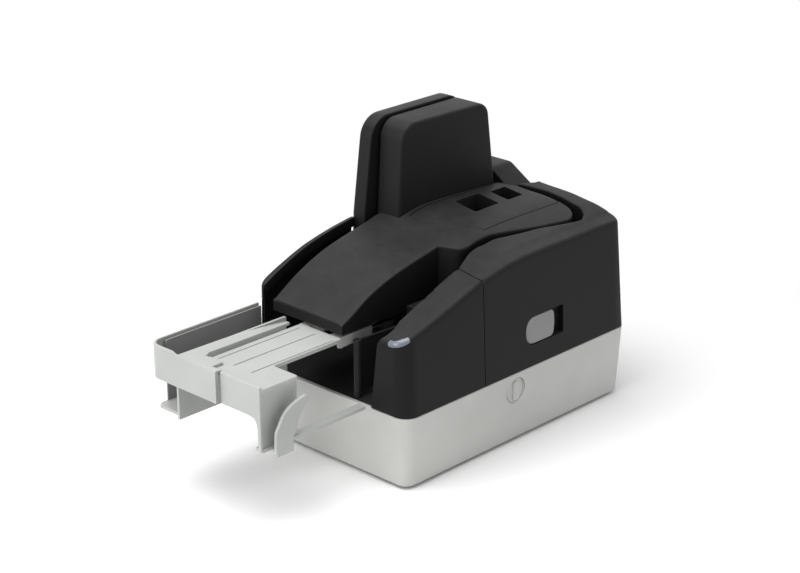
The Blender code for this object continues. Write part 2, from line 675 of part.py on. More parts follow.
def button_face(height):
    """Where the cover's right face stands at a height."""
    share = (height - COVER_LOW) / (CROWN_HEIGHT - COVER_LOW)
    return RIGHT_SIDE - SIDE_DRAFT * share


def button_profile(grow, rear):
    """Rounded side outline of the button or of its recess."""
    low, high = BUTTON_LOW - grow, BUTTON_HIGH + grow
    front = BUTTON_FRONT - grow
    middle, reach = (low + high) / 2, (high - low) / 2
    profile = []
    depth = reach * BUTTON_ROUNDNESS_SHARE
    for step in range(BUTTON_STEPS + 1):
        angle = math.radians(90 + 180 * step / BUTTON_STEPS)
        profile.append((front + depth + depth * math.cos(angle), middle + reach * math.sin(angle)))
    return profile + [(rear, low), (rear, high)]


def make_access_cover():
    cover = shell(access_outline(), COVER_LOW)
    barrel = common(rod((HINGE_X, HINGE_Y), KNUCKLE_RADIUS, COVER_LOW + SEAM, CROWN_HEIGHT * 2),
                    crown_block(0, SEAM))
    join(cover, barrel)
    cut(cover, rod((HINGE_X, HINGE_Y), HINGE_PIN_RADIUS + GAP, 0, HINGE_PIN_HIGH + GAP, SMALL_SIDES))
    face = button_face((BUTTON_LOW + BUTTON_HIGH) / 2)
    floor = face - RECESS_DEPTH
    backing = box((floor - COVER_WALL, BUTTON_FRONT - COVER_WALL * 2, BUTTON_LOW - COVER_WALL * 2),
                  (face - COVER_WALL / 2, BUTTON_REAR + BUTTON_TRAVEL + COVER_WALL * 2,
                   BUTTON_HIGH + COVER_WALL * 2))
    join(cover, backing)
    cut(cover, side_prism(button_profile(BUTTON_REST_GAP, BUTTON_REAR + BUTTON_TRAVEL + SEAM * 3),
                          floor, RIGHT_SIDE + OVERRUN))
    middle = (BUTTON_LOW + BUTTON_HIGH) / 2
    stem_front = (BUTTON_FRONT + BUTTON_REAR) / 2 - BUTTON_STEM
    cut(cover, box((floor - COVER_WALL * 2, stem_front - GAP, middle - BUTTON_STEM - GAP),
                   (face, stem_front + BUTTON_STEM * 2 + BUTTON_TRAVEL + GAP * 2,
                    middle + BUTTON_STEM + GAP)))
    add_pinch_shelves(cover, (0, 1))
    return node("access_cover", cover, BLACK_PLASTIC, (HINGE_X, HINGE_Y, COVER_LOW))


def make_release_button():
    middle = (BUTTON_LOW + BUTTON_HIGH) / 2
    face = button_face(middle)
    floor = face - RECESS_DEPTH
    button = side_prism(button_profile(0, BUTTON_REAR), floor + GAP, face - BUTTON_REST_GAP)
    stem_front = (BUTTON_FRONT + BUTTON_REAR) / 2 - BUTTON_STEM
    stem = box((floor - COVER_WALL - BUTTON_STEM, stem_front, middle - BUTTON_STEM),
               (floor + SEAM, stem_front + BUTTON_STEM * 2, middle + BUTTON_STEM))
    join(button, stem)
    node("release_button", button, GREY_PLASTIC, (face, BUTTON_FRONT, middle))


def make_hinge_pin():
    pin = rod((HINGE_X, HINGE_Y), HINGE_PIN_RADIUS, BED_TOP + GAP, HINGE_PIN_HIGH, SMALL_SIDES)
    node("hinge_pin", pin, STEEL)


def make_left_cover():
    inner = SLOT_PLACE - LEFT_STRIP
    left = LEFT_SIDE - OVERRUN * 2
    outline = [(left, -OVERRUN * 2), (inner, -OVERRUN * 2), (inner, TOWER_FRONT_Y - SEAM),
               (left, TOWER_FRONT_Y - SEAM)]
    solid = common(body_block(0), crown_block(0), prism(outline, COVER_LOW, CROWN_HEIGHT * 2))
    hollow = common(body_block(THIN_WALL, 0), crown_block(0, COVER_WALL * 3),
                    prism(inset(outline, -OVERRUN), 0, CROWN_HEIGHT * 2))
    mouth = box((-TRAY_LEFT - RUNNING_GAP, -OVERRUN * 2, 0),
                (inner + OVERRUN, FRONT_LEFT_RADIUS, TRAY_BAND_HIGH + SEAM))
    return node("left_cover", cut(solid, hollow, mouth), BLACK_PLASTIC)


def cartridge_outline():
    seam = placed(CARTRIDGE_SEAM_SHARES)
    rear = [(x, y - SEAM) for x, y in inner_path() if x < seam[-1][0]]
    corner = (SLAB_RIGHT_REAR + SEAM * 2, SLAB_REAR_Y)
    return seam + rear + [corner]


def island_outline():
    left = ISLAND_LEFT_SHARE * HALF_WIDTH
    front = ISLAND_FRONT_SHARE * BODY_DEPTH
    throat = THROAT_SHARE * HALF_WIDTH
    points = [(left, front), (throat, front)] + placed(NOTCH_SHARES) + inner_path()
    points += [(SLAB_RIGHT_REAR + SEAM, SLAB_REAR_Y + SEAM), (SLAB_RIGHT_FRONT + SEAM, SLAB_FRONT_Y - SEAM),
               (left, SLAB_FRONT_Y - SEAM)]
    return points


def make_centre_cover():
    island = shell(island_outline(), ISLAND_LOW)
    cut(island, prism(inset(cartridge_outline(), -GAP), 0, CROWN_HEIGHT * 2))
    return node("centre_cover", island, BLACK_PLASTIC)


def make_cartridge_cover():
    outline = cartridge_outline()
    plate = common(crown_block(0), prism(outline, ISLAND_LOW, CROWN_HEIGHT * 2))
    cut(plate, crown_block(0, COVER_WALL))
    radii = (WINDOW_RADIUS,) * 4
    first = rounded_outline(WINDOW_LEFT, WINDOW_RIGHT, WINDOW_FRONT_Y, WINDOW_BRIDGE_Y, radii)
    second = rounded_outline(WINDOW_LEFT + COVER_WALL, WINDOW_RIGHT, WINDOW_BRIDGE_Y + WINDOW_BRIDGE,
                             WINDOW_REAR_Y, radii)
    cut(plate, prism(first, 0, CROWN_HEIGHT * 2), prism(second, 0, CROWN_HEIGHT * 2))
    return node("cartridge_cover", plate, BLACK_PLASTIC, (0, COVER_HINGE_Y, COVER_HINGE_Z))


def make_rear_cover():
    profile = [(x * HALF_WIDTH, z * TOWER_HEIGHT if z else COVER_LOW) for x, z in FAIRING_SHARES]
    inner = [(x, z - COVER_WALL if z > COVER_LOW else -OVERRUN) for x, z in profile]
    inner = [(min(max(x, LEFT_SIDE), FAIRING_EDGE - COVER_WALL), z) for x, z in inner]
    solid = common(body_block(0), front_prism(profile, FAIRING_FRONT_Y, BODY_REAR + OVERRUN))
    hollow = common(body_block(COVER_WALL, -OVERRUN * 2),
                    front_prism(inner, FAIRING_FRONT_Y + COVER_WALL, BODY_REAR + OVERRUN))
    return node("rear_cover", cut(solid, hollow), BLACK_PLASTIC)


def outer_slab(inward):
    """The outer slab, or its cavity when it is drawn inwards by a wall."""
    points = [(y * BODY_DEPTH, z * TOWER_HEIGHT) for y, z in OUTER_SLAB_SHARES]
    points = [(TOWER_FRONT_Y, COVER_LOW)] + points + [(TOWER_REAR_Y, COVER_LOW)]
    if inward:
        points = list(reversed(inset(list(reversed(points)), inward)))
        points[0] = (points[0][0], -OVERRUN)
        points[-1] = (points[-1][0], -OVERRUN)
    right = SLOT_PLACE - SLOT_WIDTH / 2 - inward
    solid = side_prism(points, LEFT_SIDE - OVERRUN, right)
    return common(solid, body_block(inward, COVER_LOW if not inward else -OVERRUN * 2))


def make_outer_scan_cover(windows):
    slab = cut(outer_slab(0), outer_slab(TOWER_WALL))
    add_pinch_shelves(slab, TOWER_STATIONS)
    cut(slab, *windows)
    return node("outer_scan_cover", slab, BLACK_PLASTIC)


def inner_slab(inward):
    """The inner slab, or its cavity when it is drawn inwards by a wall."""
    points = [(y * BODY_DEPTH, z * TOWER_HEIGHT) for y, z in INNER_SLAB_SHARES]
    points[0] = (points[0][0], COVER_LOW)
    points[-1] = (points[-1][0], COVER_LOW)
    if inward:
        points = list(reversed(inset(list(reversed(points)), inward)))
        points[0] = (points[0][0], -OVERRUN)
        points[-1] = (points[-1][0], -OVERRUN)
    left = SLOT_PLACE + SLOT_WIDTH / 2
    plan = [(left, SLAB_FRONT_Y), (SLAB_RIGHT_FRONT, SLAB_FRONT_Y), (SLAB_RIGHT_REAR, SLAB_REAR_Y),
            (left, SLAB_REAR_Y + SEAM)]
    plan = inset(plan, inward) if inward else plan
    solid = side_prism(points, left - OVERRUN, SLAB_RIGHT_REAR + OVERRUN)
    return common(solid, prism(plan, -OVERRUN * 2, TOWER_HEIGHT + OVERRUN))


def make_inner_scan_cover(windows):
    slab = cut(inner_slab(0), inner_slab(TOWER_WALL), *windows)
    return node("inner_scan_cover", slab, BLACK_PLASTIC)


# Transport: drive stations along the path, each a driven roller facing a sprung idler
DRIVE_RADIUS = 0.0055
DRIVE_SHAFT_RADIUS = 0.002
DRIVE_LOW = 0.050
DRIVE_HIGH = 0.080
SHAFT_HIGH = 0.083
PINCH_RADIUS = 0.0035
PINCH_AXLE_RADIUS = 0.0012
NIP_GAP = 0.0006
ROLLER_POCKET = 0.0008
SHELF_THICKNESS = 0.0025
SHELF_LOW = 0.0462
SHELF_ALONG = 0.007
SHELF_ACROSS = 0.0066
PULLEY_RADIUS = 0.005
PULLEY_HEIGHT = 0.0034
PULLEY_LOW = BED_LOW - RUNNING_GAP - PULLEY_HEIGHT
MOTOR_PULLEY_RADIUS = 0.004
BELT_THICKNESS = 0.001
BELT_HEIGHT = 0.003
MOTOR_X = -0.008
MOTOR_Y = 0.080
MOTOR_RADIUS = 0.014
MOTOR_HEIGHT = 0.030
MOTOR_SHAFT_RADIUS = 0.0015
MOTOR_CHAMFER = 0.0009
MOTOR_SHAFT_SEAT = 0.0135

# Stations: plan place in the path as shares of HALF_WIDTH and BODY_DEPTH, and the path's heading
STATION_SHARES = ((0.4926, 0.4930), (0.6490, 0.7261), (-0.7238, 0.7439))
STATION_HEADINGS = (90, 73, 270)
TOWER_STATIONS = (2,)

# Guide inside the path
GUIDE_WALL = 0.0016
GUIDE_FRONT = 0.056
GUIDE_HIGH = ISLAND_LOW - GAP

# Reading heads, sensors and imprinter
MAGNET_Y = 0.1085
MAGNET_LENGTH = 0.006
MAGNET_DEPTH = 0.006
HEAD_SHARES = (0.4584, 0.6199)
HEAD_HEADING = 73
HEAD_LENGTH = 0.008
HEAD_DEPTH = 0.0062
HEAD_HEIGHT = 0.016
SENSOR_Y = 0.128
SENSOR_LENGTH = 0.0155
SENSOR_DEPTH = 0.0064
SENSOR_HIGH = 0.150
GLASS_THICKNESS = 0.0014
HOLDER_HALF_WIDTH = 0.016
HOLDER_FRONT = 0.118
HOLDER_REAR = 0.168
HOLDER_FLOOR = 0.058
HOLDER_HIGH = 0.108
HOLDER_LEG = 0.004
CARTRIDGE_HEIGHT = 0.046
CARTRIDGE_NOSE = 0.008
CARTRIDGE_SHOULDER = 0.0092

# Feeder
PICK_X = 0.0475
PICK_Y = 0.028
FEED_X = 0.046
FEED_Y = 0.058
FEED_RADIUS = 0.008
FEED_LOW = 0.052
FEED_HIGH = 0.076
FEED_SHAFT_HIGH = 0.080
FEED_MOTOR_RADIUS = 0.0078
FEED_SHAFT_SEAT = 0.012
RETARD_RADIUS = 0.007
RETARD_NIP = 0.0005
SEPARATOR_LEFT = 0.0166
SEPARATOR_RIGHT = 0.0340
SEPARATOR_FRONT = 0.0505
SEPARATOR_REAR = 0.0785
SEPARATOR_HIGH = 0.088
FLAP_X = 0.0185
FLAP_Y = 0.008
FLAP_LENGTH = 0.036
FLAP_THICKNESS = 0.0015
FLAP_LOW = 0.048
FLAP_HIGH = 0.080
FLAP_HUB_RADIUS = 0.0024
FLAP_PIN_RADIUS = 0.0012
FLAP_ANGLE = math.radians(86)


def station(index):
    """Centres of a station's driven roller and of its idler, and the path's heading."""
    nip = Vector(placed([STATION_SHARES[index]])[0])
    heading = math.radians(STATION_HEADINGS[index])
    left = Vector((-math.sin(heading), math.cos(heading)))
    drive = nip + left * (DRIVE_RADIUS + NIP_GAP / 2)
    pinch = nip - left * (PINCH_RADIUS + NIP_GAP / 2)
    return tuple(drive), tuple(pinch), heading


def drive_windows(indices):
    """Pockets that let the driven rollers reach the path."""
    return [rod(station(index)[0], DRIVE_RADIUS + ROLLER_POCKET, DRIVE_LOW - ROLLER_POCKET,
                DRIVE_HIGH + ROLLER_POCKET) for index in indices]


def add_pinch_shelves(cover, indices):
    """Two shelves with bearing holes for each idler, fused to the wall beside the path."""
    for index in indices:
        place, heading = station(index)[1], station(index)[2]
        for low in (SHELF_LOW, DRIVE_HIGH):
            join(cover, slab_box(place, SHELF_ALONG, SHELF_ACROSS, low, low + SHELF_THICKNESS, heading))
        cut(cover, rod(place, PINCH_RADIUS + ROLLER_POCKET, SHELF_LOW + SHELF_THICKNESS, DRIVE_HIGH))
        cut(cover, rod(place, PINCH_AXLE_RADIUS + GAP, SHELF_LOW - OVERRUN,
                       DRIVE_HIGH + SHELF_THICKNESS + OVERRUN, SMALL_SIDES))


def make_drive_line():
    for index in range(len(STATION_SHARES)):
        drive, pinch, heading = station(index)
        number = str(index + 1)
        shaft = wheel(drive, ((PULLEY_RADIUS, PULLEY_LOW), (PULLEY_RADIUS, PULLEY_LOW + PULLEY_HEIGHT),
                              (DRIVE_SHAFT_RADIUS, PULLEY_LOW + PULLEY_HEIGHT),
                              (DRIVE_SHAFT_RADIUS, SHAFT_HIGH)))
        node("drive_shaft_" + number, shaft, STEEL, (*drive, BED_TOP))
        roller = sleeve(drive, DRIVE_RADIUS, DRIVE_SHAFT_RADIUS + GAP, DRIVE_LOW, DRIVE_HIGH)
        node("drive_roller_" + number, roller, RUBBER, (*drive, BED_TOP))
        low = SHELF_LOW + SHELF_THICKNESS + GAP
        high = DRIVE_HIGH - GAP
        idler = wheel(pinch, ((PINCH_AXLE_RADIUS, SHELF_LOW), (PINCH_AXLE_RADIUS, low),
                              (PINCH_RADIUS, low), (PINCH_RADIUS, high), (PINCH_AXLE_RADIUS, high),
                              (PINCH_AXLE_RADIUS, DRIVE_HIGH + SHELF_THICKNESS)), sides=IDLER_SIDES)
        node("pinch_roller_" + number, idler, GREY_PLASTIC, (*pinch, BED_TOP))


def hull(points):
    """Convex outline round plan points, counter-clockwise."""
    points = sorted(set(points))
    halves = []
    for run in (points, list(reversed(points))):
        edge = []
        for point in run:
            while len(edge) > 1 and ((edge[-1][0] - edge[-2][0]) * (point[1] - edge[-2][1])
                                     - (edge[-1][1] - edge[-2][1]) * (point[0] - edge[-2][0])) <= 0:
                edge.pop()
            edge.append(point)
        halves.append(edge[:-1])
    return halves[0] + halves[1]


def make_belt(name, pulleys):
    """A flat belt drawn tight round its pulleys, given as (place, radius)."""
    low = PULLEY_LOW + (PULLEY_HEIGHT - BELT_HEIGHT) / 2
    loops = []
    for extra in (GAP + BELT_THICKNESS, GAP):
        loops.append(hull([point for place, radius in pulleys
                           for point in circle(place, radius + extra, FINE_SIDES)]))
    belt = prism(loops[0], low, low + BELT_HEIGHT)
    cut(belt, prism(loops[1], low - OVERRUN, low + BELT_HEIGHT + OVERRUN))
    node(name, belt, RUBBER)


def make_motors():
    place = (MOTOR_X, MOTOR_Y)
    motor_low = PLATE_THICKNESS + GAP
    motor = wheel(place, ((MOTOR_RADIUS - MOTOR_CHAMFER, motor_low),
                          (MOTOR_RADIUS, motor_low + MOTOR_CHAMFER),
                          (MOTOR_RADIUS, motor_low + MOTOR_HEIGHT)), sides=FINE_SIDES)
    cut(motor, rod(place, MOTOR_SHAFT_RADIUS + GAP, motor_low + MOTOR_HEIGHT / 2, BED_LOW, SMALL_SIDES))
    node("transport_motor", motor, STEEL)
    pulley = wheel(place, ((MOTOR_SHAFT_RADIUS, motor_low + MOTOR_HEIGHT - MOTOR_SHAFT_SEAT),
                           (MOTOR_SHAFT_RADIUS, PULLEY_LOW), (MOTOR_PULLEY_RADIUS, PULLEY_LOW),
                           (MOTOR_PULLEY_RADIUS, PULLEY_LOW + PULLEY_HEIGHT)))
    node("motor_pulley", pulley, BRASS, (*place, PULLEY_LOW))
    rounds = [(station(index)[0], PULLEY_RADIUS) for index in range(len(STATION_SHARES))]
    make_belt("timing_belt", rounds + [(place, MOTOR_PULLEY_RADIUS)])
    feed = (FEED_X, FEED_Y)
    motor = rod(feed, FEED_MOTOR_RADIUS, motor_low, motor_low + MOTOR_HEIGHT, FINE_SIDES)
    cut(motor, rod(feed, DRIVE_SHAFT_RADIUS + GAP, motor_low + MOTOR_HEIGHT / 2, BED_LOW, SMALL_SIDES))
    node("feed_motor", motor, STEEL)
    make_belt("feed_belt", [(feed, PULLEY_RADIUS), ((PICK_X, PICK_Y), PULLEY_RADIUS)])


def shaft_places():
    """Places of all shafts that turn in the bed."""
    drives = [station(index)[0] for index in range(len(STATION_SHARES))]
    return drives + [(PICK_X, PICK_Y), (FEED_X, FEED_Y)]


def make_feeder():
    motor_high = PLATE_THICKNESS + GAP + MOTOR_HEIGHT
    for name, place, low in (("pick", (PICK_X, PICK_Y), PULLEY_LOW),
                             ("feed", (FEED_X, FEED_Y), motor_high - FEED_SHAFT_SEAT)):
        stations = [(PULLEY_RADIUS, PULLEY_LOW), (PULLEY_RADIUS, PULLEY_LOW + PULLEY_HEIGHT),
                    (DRIVE_SHAFT_RADIUS, PULLEY_LOW + PULLEY_HEIGHT), (DRIVE_SHAFT_RADIUS, FEED_SHAFT_HIGH)]
        if low < PULLEY_LOW:
            stations = [(DRIVE_SHAFT_RADIUS, low), (DRIVE_SHAFT_RADIUS, PULLEY_LOW)] + stations
        node(name + "_shaft", wheel(place, stations), STEEL, (*place, BED_TOP))
        roller = sleeve(place, FEED_RADIUS, DRIVE_SHAFT_RADIUS + GAP, FEED_LOW, FEED_HIGH, FINE_SIDES)
        node(name + "_roller", roller, RUBBER, (*place, BED_TOP))
    retard = retard_place()
    low, high = FEED_LOW - SHELF_THICKNESS, FEED_HIGH + SHELF_THICKNESS
    roller = wheel(retard, ((DRIVE_SHAFT_RADIUS, low), (DRIVE_SHAFT_RADIUS, FEED_LOW),
                            (RETARD_RADIUS, FEED_LOW), (RETARD_RADIUS, FEED_HIGH),
                            (DRIVE_SHAFT_RADIUS, FEED_HIGH), (DRIVE_SHAFT_RADIUS, high)))
    node("retard_roller", roller, RUBBER, (*retard, BED_TOP))
    block = box((SEPARATOR_LEFT, SEPARATOR_FRONT, BED_TOP + GAP),
                (SEPARATOR_RIGHT, SEPARATOR_REAR, SEPARATOR_HIGH))
    cut(block, rod(retard, RETARD_RADIUS + ROLLER_POCKET, FEED_LOW - GAP, FEED_HIGH + GAP))
    cut(block, rod(retard, DRIVE_SHAFT_RADIUS + GAP, low - GAP, high + GAP, SMALL_SIDES))
    node("separator_block", block, DARK_PLASTIC)


def retard_place():
    return (FEED_X - FEED_RADIUS - RETARD_NIP - RETARD_RADIUS, FEED_Y)


def feeder_windows():
    """Pockets in the nose cover for the pick and the feed roller."""
    return [rod(place, FEED_RADIUS + ROLLER_POCKET, FEED_LOW - SHELF_THICKNESS, FEED_HIGH + SHELF_THICKNESS,
                FINE_SIDES) for place in ((PICK_X, PICK_Y), (FEED_X, FEED_Y))]


def make_flap():
    pivot = (FLAP_X, FLAP_Y)
    along = Vector((math.cos(FLAP_ANGLE), math.sin(FLAP_ANGLE)))
    middle = tuple(Vector(pivot) + along * FLAP_LENGTH / 2)
    flap = rod(pivot, FLAP_HUB_RADIUS, FLAP_LOW, FLAP_HIGH, IDLER_SIDES)
    join(flap, slab_box(middle, FLAP_LENGTH, FLAP_THICKNESS, FLAP_LOW, FLAP_HIGH, FLAP_ANGLE))
    cut(flap, rod(pivot, FLAP_PIN_RADIUS + GAP, 0, CROWN_HEIGHT, SMALL_SIDES))
    node("pressure_flap", flap, DARK_PLASTIC, (*pivot, FLAP_LOW))


def band(edge, thickness):
    """A wall outline that follows an open plan edge, thickened to the left of its direction."""
    offset = []
    for index, point in enumerate(edge):
        here = Vector(point)
        normals = []
        if index:
            step = (here - Vector(edge[index - 1])).normalized()
            normals.append(Vector((-step.y, step.x)))
        if index < len(edge) - 1:
            step = (Vector(edge[index + 1]) - here).normalized()
            normals.append(Vector((-step.y, step.x)))
        mitre = sum(normals, Vector((0, 0)))
        scale = len(normals) / max(mitre.length_squared, 1)
        offset.append(tuple(here + mitre * thickness * scale))
    return list(edge) + list(reversed(offset))


def head_block(grow):
    heading = math.radians(HEAD_HEADING)
    centre = placed([HEAD_SHARES])[0]
    return slab_box(centre, HEAD_LENGTH + grow * 2, HEAD_DEPTH + grow * 2, BED_TOP + GAP - grow,
                    BED_TOP + HEAD_HEIGHT + grow, heading)


def magnet_block(grow):
    face = INNER_PATH_SHARES[1][0] * HALF_WIDTH - SEAM
    return box((face - MAGNET_DEPTH - grow, MAGNET_Y - MAGNET_LENGTH / 2 - grow, BED_TOP + GAP - grow),
               (face + grow * 4, MAGNET_Y + MAGNET_LENGTH / 2 + grow, BED_TOP + HEAD_HEIGHT + grow))


def make_guide():
    throat = THROAT_SHARE * HALF_WIDTH
    edge = [(throat, GUIDE_FRONT)] + placed(NOTCH_SHARES) + inner_path()
    guide = prism(band(edge, GUIDE_WALL), BED_TOP + GAP, GUIDE_HIGH)
    cut(guide, *drive_windows((0, 1)))
    cut(guide, head_block(GAP), magnet_block(GAP))
    node("inner_path_guide", guide, BLACK_PLASTIC)
    node("magnetic_read_head", head_block(0), STEEL)
    node("magnetising_magnet", magnet_block(0), STEEL)


def sensor_sides():
    """Wall face beside the slot and outward direction, for the outer and the inner slab."""
    half = SLOT_WIDTH / 2
    return ((SLOT_PLACE - half, -1), (SLOT_PLACE + half, 1))


def sensor_window(face, way):
    """The hole in a slab's slot wall that its glass fills."""
    ends = sorted((face - way * SEAM, face + way * (TOWER_WALL + SEAM)))
    half = SENSOR_LENGTH / 2
    return box((ends[0], SENSOR_Y - half - GAP, COVER_LOW + COVER_WALL),
               (ends[1], SENSOR_Y + half + GAP, SENSOR_HIGH + GAP))


def make_sensors():
    half = SENSOR_LENGTH / 2
    for side, (face, way) in zip(("outer", "inner"), sensor_sides()):
        ends = sorted((face + way * GAP, face + way * (GAP + GLASS_THICKNESS)))
        glass = box((ends[0], SENSOR_Y - half, COVER_LOW + COVER_WALL + GAP),
                    (ends[1], SENSOR_Y + half, SENSOR_HIGH))
        node(side + "_scan_glass", glass, GLASS)
        start = TOWER_WALL + GAP
        ends = sorted((face + way * start, face + way * (start + SENSOR_DEPTH)))
        sensor = box((ends[0], SENSOR_Y - half, BED_TOP + GAP),
                     (ends[1], SENSOR_Y + half, SENSOR_HIGH + COVER_WALL))
        node(side + "_image_sensor", sensor, GREY_PLASTIC)


def make_imprinter():
    half = HOLDER_HALF_WIDTH
    holder = box((-half, HOLDER_FRONT, BED_TOP + GAP), (half, HOLDER_REAR, HOLDER_HIGH))
    cut(holder, box((COVER_WALL - half, HOLDER_FRONT + COVER_WALL, HOLDER_FLOOR),
                    (half - COVER_WALL, HOLDER_REAR - COVER_WALL, HOLDER_HIGH + OVERRUN)))
    cut(holder, box((HOLDER_LEG - half, HOLDER_FRONT - OVERRUN, 0),
                    (half - HOLDER_LEG, HOLDER_REAR + OVERRUN, HOLDER_FLOOR - COVER_WALL)))
    node("cartridge_holder", holder, DARK_PLASTIC)
    wall = COVER_WALL + GAP
    low = HOLDER_FLOOR + GAP
    cartridge = box((wall - half, HOLDER_FRONT + wall, low),
                    (half - wall, HOLDER_REAR - wall, low + CARTRIDGE_HEIGHT))
    high = low + CARTRIDGE_HEIGHT
    join(cartridge, box((-CARTRIDGE_NOSE, HOLDER_FRONT + CARTRIDGE_SHOULDER, high - CARTRIDGE_HEIGHT / 2),
                        (CARTRIDGE_NOSE, HOLDER_REAR - CARTRIDGE_SHOULDER, high + CARTRIDGE_NOSE)))
    node("imprinter_cartridge", cartridge, GREY_PLASTIC)


# Tray drawer: eject tray, its guide panel, feed tray and the rails that they slide on
TRAY_LEFT = 0.0568
TRAY_RADIUS = 0.009
TRAY_WALL = 0.0016
TRAY_BAND_LOW = 0.0647
TRAY_BAND_HIGH = 0.0853
TRAY_BAND_END = 0.0014
TRAY_REAR = -0.001
FLOOR_TOP = 0.0465
FLOOR_THICKNESS = 0.002
FLOOR_FRONT = -0.0812
POCKET_RIGHT = -0.0315
STRIP_LEFT = -0.032
STRIP_RIGHT = -0.0213
STRIP_REAR = -0.007
STRIP_HIGH = 0.0838
STRIP_THICKNESS = 0.0017
PANEL_LEFT = -0.0539
PANEL_THICKNESS = 0.001
PANEL_FRONT = -0.0744
PANEL_HIGH = 0.084
PANEL_CORNER = 0.0016
PLATE_HIGH = 0.0823
PLATE_DEPTH = 0.0023
PLATE_LEFT = -0.0207
PLATE_RIGHT = 0.015
PLATE_FRONT = -0.072
TAB_LEFT = -0.006
TAB_FRONT = -0.0795
SHELF_RIGHT = 0.035
SHELF_REAR = -0.054
APRON_LEFT = 0.0025
APRON_RIGHT = 0.0345
APRON_FRONT = -0.0824
APRON_LOW = 0.0646
APRON_HIGH = 0.0836
LEG_LEFT = 0.0318
SHEET_FLOOR_LEFT = 0.029
SHEET_FLOOR_RIGHT = 0.0345
SHEET_FLOOR_REAR = -0.002
HOOK_LEFT = 0.0388
HOOK_THICKNESS = 0.0024
HOOK_FOOT_FRONT = -0.0758
HOOK_FOOT_REAR = -0.066
LINE_PLACES = (-0.0143, -0.0012, 0.0134)
LINE_WIDTH = 0.0007
LINE_DEPTH = 0.0006
LINE_REAR = -0.006
RAIL_LEFTS = (-0.018, 0.0075)
RAIL_WIDTH = 0.004
RAIL_LOW = 0.074
RAIL_HIGH = 0.0797
RAIL_FRONT = 0.002
RAIL_REAR = 0.092
RAIL_POST_FRONT = 0.056
RAIL_POST_DEPTH = 0.008
ARM_FRONT = -0.002
ARM_REAR = 0.025
ARM_LIP = 0.0014
ARM_LIP_LOW = 0.076

# Side outline of the sheet stop at the right, as shares of TRAY_REACH and BASE_HEIGHT
HOOK_SHARES = ((-0.892, 0.960), (-0.904, 1.018), (-0.902, 1.258), (-0.879, 1.355), (-0.832, 1.498),
               (-0.775, 1.554), (-0.701, 1.611), (-0.639, 1.633), (-0.612, 1.575), (-0.641, 1.520),
               (-0.699, 1.369), (-0.753, 1.192), (-0.749, 1.043), (-0.759, 0.980), (-0.841, 0.957))


def strip_outline():
    """The flat strip on the pocket's wall, which runs on as a ledge in front of the feed tray."""
    left, front = STRIP_LEFT - TRAY_WALL / 2, -TRAY_REACH + TRAY_WALL / 2
    end, tab, plate = TRAY_BAND_END - SEAM, TAB_FRONT - SEAM, PLATE_FRONT - SEAM
    return [(left, front), (end, front), (end, tab), (TAB_LEFT - SEAM, tab), (TAB_LEFT - SEAM, plate),
            (STRIP_RIGHT, plate), (STRIP_RIGHT, STRIP_REAR), (left, STRIP_REAR)]


def make_eject_tray():
    outer = rounded_outline(-TRAY_LEFT, HALF_WIDTH, -TRAY_REACH, HALF_WIDTH, (TRAY_RADIUS,) * 4)
    inner = rounded_outline(TRAY_WALL - TRAY_LEFT, HALF_WIDTH - OVERRUN, TRAY_WALL - TRAY_REACH,
                            HALF_WIDTH - OVERRUN, (TRAY_RADIUS - TRAY_WALL,) * 4)
    tray = prism(outer, TRAY_BAND_LOW, TRAY_BAND_HIGH)
    cut(tray, prism(inner, 0, TRAY_BAND_HIGH + OVERRUN))
    common(tray, box((LEFT_SIDE, -TRAY_REACH - OVERRUN, 0), (TRAY_BAND_END, TRAY_REAR, CROWN_HEIGHT)))
    cut(tray, box((POCKET_RIGHT - TRAY_WALL, -TRAY_REACH - OVERRUN, STRIP_HIGH + SEAM),
                  (TRAY_BAND_END + OVERRUN, FLOOR_FRONT, CROWN_HEIGHT)))
    floor_low = FLOOR_TOP - FLOOR_THICKNESS
    floor = prism(inset(outer, TRAY_WALL + SEAM), floor_low, FLOOR_TOP)
    common(floor, box((LEFT_SIDE, FLOOR_FRONT, 0), (POCKET_RIGHT, TRAY_REAR, CROWN_HEIGHT)))
    wall = box((POCKET_RIGHT - TRAY_WALL, -TRAY_REACH + TRAY_WALL / 2, floor_low),
               (POCKET_RIGHT, TRAY_REAR, STRIP_HIGH - STRIP_THICKNESS / 2))
    strip = prism(strip_outline(), STRIP_HIGH - STRIP_THICKNESS, STRIP_HIGH)
    join(tray, wall, floor, strip)
    return node("eject_tray", tray, TRAY_PLASTIC)


def make_guide_panel():
    right = PANEL_LEFT + PANEL_THICKNESS
    radius = PANEL_CORNER
    profile = [(TRAY_REAR, FLOOR_TOP + GAP), (TRAY_REAR, PANEL_HIGH)]
    for step in range(CORNER_STEPS + 1):
        angle = math.radians(90 + 90 * step / CORNER_STEPS)
        profile.append((PANEL_FRONT + radius + radius * math.cos(angle),
                        PANEL_HIGH - radius + radius * math.sin(angle)))
    profile.append((PANEL_FRONT, FLOOR_TOP + GAP))
    node("eject_guide_panel", side_prism(profile, PANEL_LEFT, right), GREY_PLASTIC)


